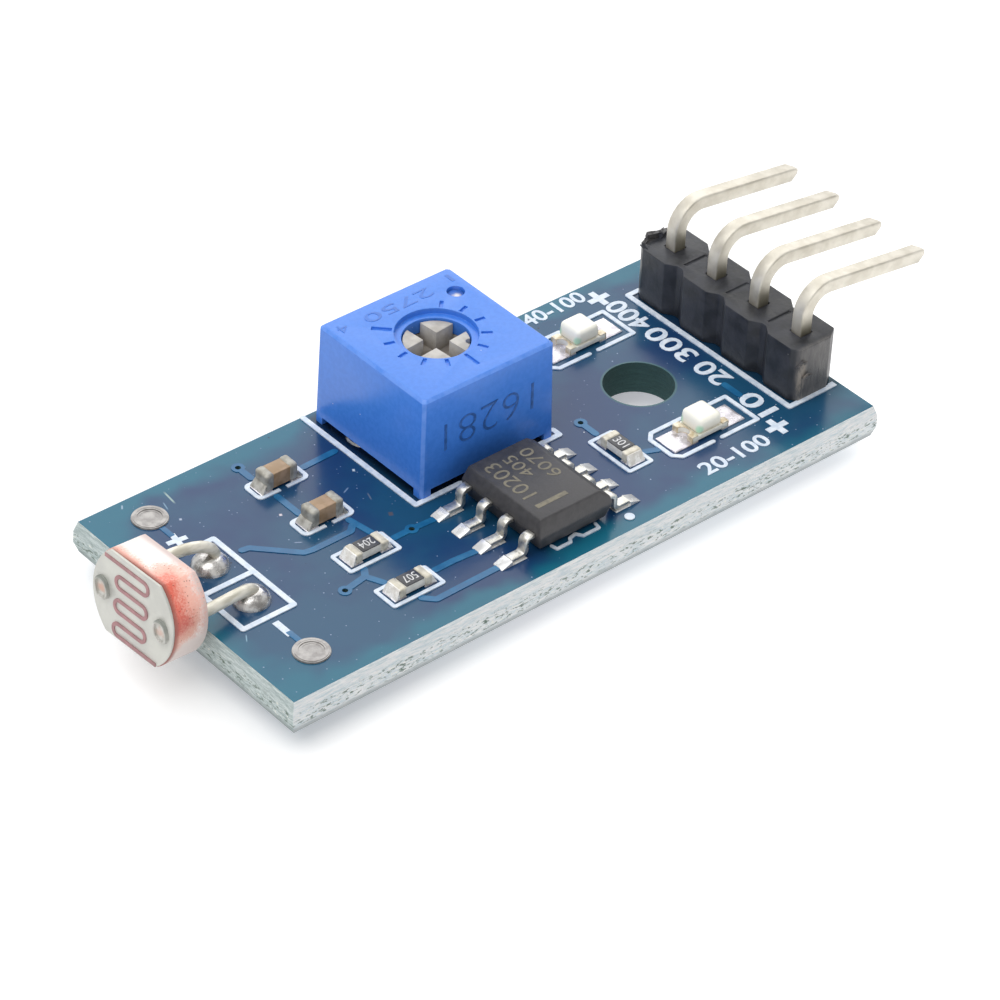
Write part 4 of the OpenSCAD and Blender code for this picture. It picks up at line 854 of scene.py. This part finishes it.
class SENSOR_OT_cell(bpy.types.Operator):
    """Photoresistor disc, its film, track and pressed heads, and the two leads with their solder"""

    bl_idname = "sensor.cell"
    bl_label = "Photoresistor"

    def execute(self, context):
        # A metal film evaporated onto the ceramic: pale grey, softly shiny, faintly clouded
        film = mottled("Evaporated film", "CFCFC8", "C2C2BC", grain=1.2, rough=(0.38, 0.5),
                       relief=0.004, Metallic=0.25)
        skin = rounded("photoresistor_film", film, 0.03, name="cell_film")
        face = max((polygon for polygon in skin.data.polygons if polygon.normal.x < 0),
                   key=lambda polygon: polygon.area)
        front, normal = face.center / MM, face.normal.copy()
        across = Vector((normal.y, -normal.x, 0)).normalized()
        if across.y > 0:
            across.negate()
        ceramic = ceramic_finish(front, normal, across)
        rounded("photoresistor_disc", ceramic, 0.12, name="cell_disc", steps=3)
        # Sprayed sulphide: a matt line of dusty rose
        track = mottled("Sulphide track", "AE8385", "997173", grain=0.4, rough=(0.5, 0.7))
        paint("photoresistor_track", track)
        # The pressed heads: one oval dome, copied to both places
        low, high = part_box("photoresistor_terminals")
        spread = (high.y - low.y) / MM
        wide, tall, lean = 0.76, 0.98, 18
        oval = dome(wide / 2, ((0.11, 0.02), (0.03, 0.03), (0.0, 0.04), (-0.05, 0.05), (-0.02, 0.06)),
                    draw=tall - wide)
        axes = Matrix((across, normal.cross(across), normal)).transposed().to_4x4()
        axes = axes @ Matrix.Rotation(math.radians(lean), 4, "Z")
        centre = (low + high) / 2 / MM
        centre -= normal * (centre - front).dot(normal)
        for side, name in ((1, "near"), (-1, "far")):
            head = doubled(oval)
            at = centre + across * side * (spread - wide) / 2
            head.matrix_world = Matrix.Translation(at * MM) @ axes
            # Tinned, with copper showing where its middle is worn, and painted shade greying its far
            # upper edge
            lit_side = at - normal.cross(across) * 0.13 - across * 0.09
            tin = centred_finish("Pressed lead head", at, 0.3, "D0A490", "CFCEC9", "B8B7B0",
                                 edge=("969993", lit_side), Metallic=0.15, Roughness=0.45)
            settle(head, f"cell_{name}_head", tin, "photoresistor_terminals",
                   hides=["photoresistor_terminals"] if side < 0 else ())
        bpy.data.objects.remove(oval)
        # Tinned by dipping and then drawn: pale and softly shiny, streaked along the wire
        wire = mottled("Tinned copper wire", "F0ECDF", "CFCAB9", grain=0.5, rough=(0.42, 0.55),
                       relief=0.01, stretch=(0.6, 2, 2), Metallic=0.4)
        # Soldered by hand: shiny and rippled, grey in its hollows
        bright = mottled("Bright solder", "F0EEEA", "9A9794", grain=0.45, rough=(0.18, 0.36),
                         relief=0.025, Metallic=0.8)
        for side in ("far", "near"):
            rounded(f"photoresistor_{side}_lead", wire, 0, name=f"cell_{side}_wire", smooth=60)
            rounded(f"{side}_lead_solder", bright, 0, name=f"cell_{side}_joint", smooth=60)
        return {"FINISHED"}


class SENSOR_OT_trimmer(bpy.types.Operator):
    """Trimmer housing with its moulded numbers, rotor and inner pieces"""

    bl_idname = "sensor.trimmer"
    bl_label = "Trimmer"

    def execute(self, context):
        # Injection-moulded PBT: satin, strongly blue, with dust on it
        shell = mottled("Blue moulded PBT", "4484E4", "3F7EDE", grain=0.2, rough=(0.22, 0.27),
                        dust=("C2D4F4", 0.42, 0.035, 0.25))
        low, high = [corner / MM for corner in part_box("trimmer_housing")]
        middle = (low + high) / 2
        # Its outer edges are rubbed paler and carry a painted highlight, but not the rings and marks of
        # the dial
        dial_radius = 3.1
        wear_and_highlight(shell, Vector((middle.x, middle.y, high.z)), dial_radius, "6C9AEE")
        rounded("trimmer_housing", shell, 0.08, name="trimmer_shell", steps=4, angle=25, smooth=24)
        cross_top, cross_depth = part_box("trimmer_rotor")[1].z / MM, 0.95
        grey = rotor_finish(cross_top, cross_top - cross_depth)
        rounded("trimmer_rotor", grey, 0.05, name="rotor_skin")
        # Rolled spring brass: yellow metal with a soft sheen
        brass = mottled("Spring brass", "D8B566", "B08A3E", grain=0.5, rough=(0.25, 0.4), Metallic=1.0)
        paint("trimmer_wiper", brass)
        # Glazed ceramic: smooth, off-white, lightly clouded
        glazed = mottled("Glazed alumina plate", "F2F0EA", "DAD6CC", grain=0.8, rough=(0.3, 0.5))
        paint("trimmer_element", glazed)
        # Screen-printed and fired resistive ink: matt, nearly black
        resistive = mottled("Resistive ink", "3A3A3C", "242426", grain=0.2, rough=(0.5, 0.7))
        paint("trimmer_track", resistive)
        # Dipped pins: grey metal, half bright
        tin = mottled("Tinned pins", "D6D3C8", "A8A498", grain=0.4, rough=(0.25, 0.4), Metallic=1.0)
        paint("trimmer_pins", tin)
        # Solder left by a wave of it: bright, lightly rippled
        solder = mottled("Wave solder", "DFDFDE", "B4B4B2", grain=0.4, rough=(0.15, 0.3), relief=0.02,
                         Metallic=1.0)
        paint("trimmer_solder", solder)
        paint("header_solder", solder)
        # Numbers moulded with the shell: the same plastic, painted a shade deeper to stand for the shade
        # in their strokes
        shaded_numbers = mottled("Moulded numbers", "3A75D2", "336CC6", grain=1.0, rough=(0.3, 0.4))
        for name, words, size, at in (("row", "2750", (3.37, 0.59), (0, 2.39)),
                                      ("left", "4", (0.45, 0.5), (-2.75, 2.48)),
                                      ("right", "1", (0.16, 0.5), (2.85, 2.6))):
            lettering("trimmer_number_" + name, words, size, (middle.x + at[0], middle.y + at[1], high.z),
                      shaded_numbers, "trimmer_housing", turn=(0, 0, 180), depth=0.012)
        # The side's numbers stand upside down on the leaning near face. They are moulded too, and their
        # darker, patchy colour is painted shade, as light grazes them.
        shaded_side_marks = mottled("Moulded side numbers", "3769B6", "2C5A9E", grain=0.25, rough=(0.3, 0.4),
                             contrast=(0.42, 0.58))
        on_side = (middle.x, low.y + 0.062, BOARD_TOP + 2.57)
        lettering("trimmer_number_side", "16281", (4.6, 1.3), on_side, shaded_side_marks, "trimmer_housing",
                  turn=(88.75, 180, 0), depth=0.02, weight=-0.02)
        # The plug at the bottom of the moulding hole, its blue painted darker as shade
        plug_radius, plug_height, plug_down = 0.34, 0.44, 0.37
        bpy.ops.object.select_all(action="DESELECT")
        bpy.ops.mesh.primitive_cylinder_add(vertices=32, radius=plug_radius * MM, depth=plug_height * MM)
        plug = context.object
        at = Vector((middle.x + 2.45, middle.y + 1.75, high.z - plug_down))
        plug.location = at * MM
        soften(plug, 0.03)
        # The sprue in it broke off, and its pale core shows towards the near side
        core_at = at + Vector((-0.06, -0.08, plug_height / 2))
        core = centred_finish("Broken sprue", core_at, 0.24, "F4ECE4", "3A70C8", "2D5CAE",
                              Roughness=0.45)
        settle(plug, "trimmer_plug", core, "trimmer_housing")
        return {"FINISHED"}


class SENSOR_OT_chip(bpy.types.Operator):
    """Comparator chip, its leads and the plain numbers on its top"""

    bl_idname = "sensor.chip"
    bl_label = "Chip"

    def execute(self, context):
        # Transfer-moulded epoxy: dark grey, matt, finely gritty
        epoxy = mottled("Moulded epoxy", "444345", "3A393B", grain=0.3, rough=(0.42, 0.52),
                        relief=0.008, dust=("A9A39C", 0.42, 0.035, 0.16))
        rounded("chip_body", epoxy, 0.08, name="chip_case", steps=3)
        # Tin plating: pale grey metal, half bright and faintly grainy
        tin = mottled("Tin-plated leads", "E4E2DC", "C2C0B8", grain=0.35, rough=(0.26, 0.4),
                      relief=0.006, Metallic=0.85)
        rounded("chip_leads", tin, 0.03, name="chip_feet")
        # Reflowed solder: smooth, nearly white
        bright = mottled("Reflowed solder", "FCFCFB", "E2E2E2", grain=0.5, rough=(0.2, 0.32),
                         relief=0.003, Metallic=0.5)
        rounded("chip_solder", bright, 0.06, name="chip_fillets", steps=4, smooth=60)
        # Laser marking: the burnt skin is a shade lighter and warmer than the epoxy
        marking = mottled("Laser marking", "878170", "706B5E", grain=0.2, rough=(0.6, 0.75))
        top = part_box("chip_body")[1].z / MM
        for words, width, height, at in (("10203", 2.5, 0.71, (-9.77, -3.24)),
                                         ("405", 1.47, 0.59, (-8.88, -2.75)),
                                         ("6070", 2.1, 0.6, (-8.05, -3.05))):
            lettering("chip_number_" + words, words, (width, height), (*at, top), marking, "chip_body",
                      turn=(0, 0, 90), depth=0.008)
        lettering("chip_bar", "-", (1.56, 0.23), (-9.25, -5.13, top), marking, "chip_body", depth=0.008)
        return {"FINISHED"}


class SENSOR_OT_passives(bpy.types.Operator):
    """Capacitors and resistors with their caps, coats, numbers and solder fillets"""

    bl_idname = "sensor.passives"
    bl_label = "Resistors and capacitors"

    def execute(self, context):
        # Fired ceramic layers: smooth light brown, faintly clouded
        tan = mottled("Barium titanate", "B2967A", "9E8262", grain=0.4, rough=(0.38, 0.5), relief=0.004)
        # Plated caps that have gone dull: warm grey with fine pits
        dull = mottled("Worn end caps", "B9B7AE", "979388", grain=0.3, rough=(0.4, 0.55), relief=0.008,
                       Metallic=0.3)
        # Fresh plated caps: paler, with a warmer sheen
        pale = mottled("Plated end caps", "E2DCCB", "C4BEAE", grain=0.3, rough=(0.35, 0.5),
                       relief=0.008, Metallic=0.2)
        # Fired ceramic: matt white
        white = mottled("Alumina substrate", "EDEBE4", "DEDCD4", grain=0.4, rough=(0.4, 0.55))
        # Fired glass over the resistor: dark grey, half glossy
        coat = mottled("Glass glaze", "4C4D50", "3C3D40", grain=0.3, rough=(0.3, 0.42))
        # Printed ink: matt, slightly uneven white
        digits = mottled("Printed digits", "E4E4E4", "CFCFCF", grain=0.2, rough=(0.5, 0.6))
        # Solder that ran flat over the pads: bright, with a faint violet tinge
        solder = mottled("Reflowed pads", "F6F2F8", "C2BEC4", grain=0.45, rough=(0.2, 0.34),
                         relief=0.006, Metallic=0.55)
        # Solder drawn up the caps: smooth, its nearly white colour a painted highlight
        bright = mottled("Reflowed fillets", "FFFEFA", "E4E0D8", grain=0.3, rough=(0.2, 0.3),
                         relief=0.004, Metallic=0.15)
        # Solder that cooled dull: grey and frosted
        grey = mottled("Dull fillets", "CFCDC6", "A3A097", grain=0.3, rough=(0.3, 0.45), relief=0.008,
                       Metallic=0.4)
        for which in ("first", "second"):
            rounded(f"{which}_capacitor_body", tan, 0.03)
        for which, words, turn in (("first", "204", 180), ("second", "507", 180), ("third", "301", -90)):
            rounded(f"{which}_resistor_body", white, 0.02)
            rounded(f"{which}_resistor_coat", coat, 0.02)
            low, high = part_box(f"{which}_resistor_coat")
            middle = (low + high) / 2 / MM
            lettering(f"{which}_resistor_number", words, (0.66, 0.4), (middle.x, middle.y, high.z / MM),
                      digits, f"{which}_resistor_coat", turn=(0, 0, turn), depth=0.008)
        pads = rounded("surface_solder", solder, 0, smooth=60)
        raise_tops(pads, ((0.05, 0.03), (0.08, 0.01)))
        # Solder climbs each end cap: one wedge, wider at its foot, copied to every cap
        bpy.ops.object.select_all(action="DESELECT")
        bpy.ops.mesh.primitive_cube_add(size=MM)
        wedge = context.object
        pick(wedge, "VERT", lambda point: point.co.x > 0 and point.co.z > 0)
        bpy.ops.transform.translate(value=(-0.86 * MM, 0, 0))
        pick(wedge, "VERT", lambda point: point.co.x > 0 and point.co.z < 0)
        bpy.ops.transform.resize(value=(1, 1.2, 1))
        bpy.ops.object.mode_set(mode="OBJECT")
        # A fillet's reach along the board, its share of the cap's width and its lift onto the pad
        fillet_reach, fillet_share, lift = 0.26, 0.94, 0.04
        for which, rise, edge, cap, fillet in (
                ("first_capacitor", 0.36, 0.13, dull, grey),
                ("second_capacitor", 0.34, 0.13, dull, grey),
                ("first_resistor", 0.44, 0.08, pale, bright),
                ("second_resistor", 0.44, 0.08, pale, bright),
                ("third_resistor", 0.42, 0.08, pale, bright)):
            node = which + "_ends"
            low, high = [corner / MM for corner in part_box(node)]
            middle, half = (low + high) / 2, (high - low) / 2
            along = 1 if half.y > half.x else 0
            # The cap reaches from its inner face to the part's end
            inner = min(abs(point.co[along] / MM - middle[along]) for point in NODES[node].data.vertices)
            size = high - low
            size[along] = half[along] - inner
            cap_shape = block(size, edge, steps=4)
            fillet_shape = doubled(wedge)
            only(fillet_shape)
            fillet_shape.scale = (fillet_reach, size[1 - along] * fillet_share, rise)
            bpy.ops.object.transform_apply(location=False, rotation=False, scale=True)
            soften(fillet_shape, 0.05, steps=4)
            for side, end in ((1, "high"), (-1, "low")):
                piece, foot = doubled(cap_shape), doubled(fillet_shape)
                at = middle.copy()
                at[along] += side * (half[along] + inner) / 2
                piece.location = at * MM
                settle(piece, f"{which}_{end}_cap", cap, node, hides=[node] if side < 0 else ())
                at = Vector((middle.x, middle.y, BOARD_TOP + lift + rise / 2))
                at[along] += side * (half[along] + 0.1)
                foot.rotation_euler.z = math.radians(90 * along + (180 if side < 0 else 0))
                foot.location = at * MM
                settle(foot, f"{which}_{end}_fillet", fillet, "surface_solder")
            bpy.data.objects.remove(cap_shape)
            bpy.data.objects.remove(fillet_shape)
        bpy.data.objects.remove(wedge)
        return {"FINISHED"}


class SENSOR_OT_lamps(bpy.types.Operator):
    """Two indicator lamps"""

    bl_idname = "sensor.lamps"
    bl_label = "Lamps"

    def execute(self, context):
        # Moulded white plastic: satin, slightly warm
        base = mottled("White lamp base", "F6F5EC", "E8E6DA", grain=0.4, rough=(0.4, 0.55))
        # Flashed with gold under a film of solder: pale, warm metal
        gilt = mottled("Gilt contacts", "F2E9D4", "CDBB98", grain=0.25, rough=(0.36, 0.48),
                       Metallic=0.25)
        for side in ("far", "near"):
            low, high = [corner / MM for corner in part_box(f"{side}_lamp_lens")]
            middle, half = (low + high) / 2, (high - low) / 2
            lens = lens_finish(middle, Vector((half.x - 0.05, half.y, low.z + 0.22)))
            rounded(f"{side}_lamp_base", base, 0.02)
            rounded(f"{side}_lamp_contacts", gilt, 0.015)
            rounded(f"{side}_lamp_lens", lens, 0.19, steps=5)
        return {"FINISHED"}


class SENSOR_OT_header(bpy.types.Operator):
    """Pin header with its block, the burrs of its snapped ends and four bent pins"""

    bl_idname = "sensor.header"
    bl_label = "Header"

    def execute(self, context):
        low, high = [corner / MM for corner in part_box("header_block")]
        streak = low.x + 0.36
        black = header_finish(streak, high.z)
        rounded("header_block", black, 0.06, name="header_body", steps=3)
        # Torn flakes of the moulding: one is modelled, and copied with a place, a width, a depth,
        # a height and a turn in degrees. X is from the block's middle and Z from its top.
        bpy.ops.object.select_all(action="DESELECT")
        bpy.ops.mesh.primitive_cube_add(size=MM)
        flake = context.object
        bpy.ops.object.mode_set(mode="EDIT")
        bpy.ops.mesh.select_all(action="SELECT")
        bpy.ops.mesh.subdivide(number_cuts=2)
        bpy.ops.transform.vertex_random(offset=0.26 * MM, uniform=0.0, normal=0.0, seed=7)
        bpy.ops.object.mode_set(mode="OBJECT")
        bpy.ops.object.shade_smooth_by_angle(angle=math.radians(30))
        middle_x = (low.x + high.x) / 2
        for i, (x, y, z, wide, deep, tall, turn) in enumerate((
                (-0.72, high.y - 0.04, -0.03, 0.62, 0.2, 0.2, 24),
                (-0.28, high.y - 0.03, 0.1, 0.7, 0.2, 0.34, -14),
                (0.14, high.y - 0.08, 0.04, 0.5, 0.26, 0.36, 24),
                (-1.02, high.y - 0.34, -0.02, 0.2, 0.44, 0.16, 12),
                (-0.9, low.y + 0.04, -0.75, 0.24, 0.1, 0.5, -8),
                (-0.7, low.y + 0.03, -1.5, 0.26, 0.1, 0.7, 5))):
            burr = doubled(flake)
            burr.scale = (wide, deep, tall)
            burr.rotation_euler = (0.12 * i, 0.1 * i, math.radians(turn))
            burr.location = Vector((middle_x + x, y, high.z + z)) * MM
            settle(burr, f"header_burr_{i + 1}", black, "header_block")
        bpy.data.objects.remove(flake)
        # Drawn brass with thin tin over it: pale, warm, half bright, with painted shade and reflection
        # above the block
        pin = mottled("Tinned brass pins", "E2DDD1", "CBC5B7", grain=0.8, rough=(0.42, 0.54),
                      relief=0.006, Metallic=0.6)
        shade_pin_base(pin, high.z, "6F6A58")
        for i in (1, 2, 3, 4):
            rounded(f"header_pin_{i}", pin, 0.09, name=f"pin_{i}", steps=3)
        return {"FINISHED"}


class SENSOR_OT_stage(bpy.types.Operator):
    """White floor, soft lights and the camera"""

    bl_idname = "sensor.stage"
    bl_label = "Stage"

    def execute(self, context):
        setup = context.scene.sensor_stage
        floor_size, target = 3.0, Vector((-0.008, 0, 0))
        bpy.ops.object.select_all(action="DESELECT")
        bpy.ops.mesh.primitive_plane_add(size=floor_size, location=(0, 0, CAD_BOX[0].z))
        floor = context.object
        bpy.ops.object.transform_apply()
        floor.name = "floor"
        # Paper lit through from below; the extra glow towards the near right side is painted light that
        # lifts the shadow there
        paper, tree, shader, place = begin("Back-lit paper", Roughness=0.9)
        shader.inputs["Base Color"].default_value = setup.floor_colour
        shader.inputs["Emission Color"].default_value = linear("FFFFFF")
        near = add(tree, "VectorMath", {0: place, 1: (0.4, -1, 0)}, out="Value", operation="DOT_PRODUCT")
        glow, most_glow = setup.floor_glow, setup.floor_glow + setup.near_fill_glow
        glow = add(tree, "MapRange", {0: near, 1: -5, 2: 5, 3: glow, 4: most_glow}, **SOFT)
        tree.links.new(glow, shader.inputs["Emission Strength"])
        floor.data.materials.append(paper)
        world = bpy.data.worlds.new("White surround")
        world.use_nodes = True
        surround = world.node_tree.nodes["Background"]
        surround.inputs["Color"].default_value = (1, 1, 1, 1)
        surround.inputs["Strength"].default_value = setup.world_strength
        context.scene.world = world
        for name, at, size, power in (("overhead", (-0.16, 0.02, 0.34), 0.35, setup.key_power),
                                      ("back", (0.3, 0.34, 0.36), 0.6, setup.back_power)):
            bpy.ops.object.light_add(type="AREA", location=at)
            light = context.object
            light.name = name
            light.data.size = size
            light.data.energy = power
            light.rotation_euler = (target - light.location).to_track_quat("-Z", "Y").to_euler()
        bpy.ops.object.camera_add()
        camera = context.object
        # Where the photograph was taken from: the picture's right, up and towards-us axes
        axes = ((0.7675580105, -0.6403593038, 0.0281897609),
                (0.3775792935, 0.4872438614, 0.7874181206),
                (-0.5179658074, -0.593745216, 0.6157743424))
        at = Vector((-94.269, -97.055, 100.725)) * MM
        camera.matrix_world = Matrix.Translation(at) @ Matrix(axes).transposed().to_4x4()
        camera.data.lens = setup.lens
        camera.data.sensor_width = 36.0
        camera.data.shift_x = 0.0421
        camera.data.clip_start = 0.01
        camera.data.clip_end = 10.0
        context.scene.camera = camera
        context.scene.view_settings.view_transform = "Standard"
        return {"FINISHED"}


class SENSOR_PT_panel(bpy.types.Panel):
    """Sidebar panel with the sizes and the operators in their order"""

    bl_idname = "SENSOR_PT_panel"
    bl_label = "Sensor board"
    bl_space_type = "VIEW_3D"
    bl_region_type = "UI"
    bl_category = "Sensor board"

    def draw(self, context):
        for key, group in GROUPS.items():
            box = self.layout.box()
            for value in group.__annotations__:
                box.prop(getattr(context.scene, key), value)
        for operator in OPERATORS:
            self.layout.operator(operator.bl_idname)


OPERATORS = (SENSOR_OT_board, SENSOR_OT_legend, SENSOR_OT_cell, SENSOR_OT_trimmer, SENSOR_OT_chip,
             SENSOR_OT_passives, SENSOR_OT_lamps, SENSOR_OT_header, SENSOR_OT_stage)
GROUPS = {"sensor_board": BoardLook, "sensor_legend": Legend, "sensor_stage": StageSetup}


def register():
    """Registers the groups of values, the operators and the panel."""
    for key, group in GROUPS.items():
        bpy.utils.register_class(group)
        setattr(bpy.types.Scene, key, bpy.props.PointerProperty(type=group))
    for operator in OPERATORS:
        bpy.utils.register_class(operator)
    bpy.utils.register_class(SENSOR_PT_panel)


def unregister():
    """Takes out all that register added."""
    bpy.utils.unregister_class(SENSOR_PT_panel)
    for operator in reversed(OPERATORS):
        bpy.utils.unregister_class(operator)
    for key, group in reversed(GROUPS.items()):
        delattr(bpy.types.Scene, key)
        bpy.utils.unregister_class(group)


def main():
    """Runs every operator in order."""
    register()
    bpy.ops.sensor.board()
    bpy.ops.sensor.legend()
    bpy.ops.sensor.cell()
    bpy.ops.sensor.trimmer()
    bpy.ops.sensor.chip()
    bpy.ops.sensor.passives()
    bpy.ops.sensor.lamps()
    bpy.ops.sensor.header()
    bpy.ops.sensor.stage()


if __name__ == "__main__":
    main()
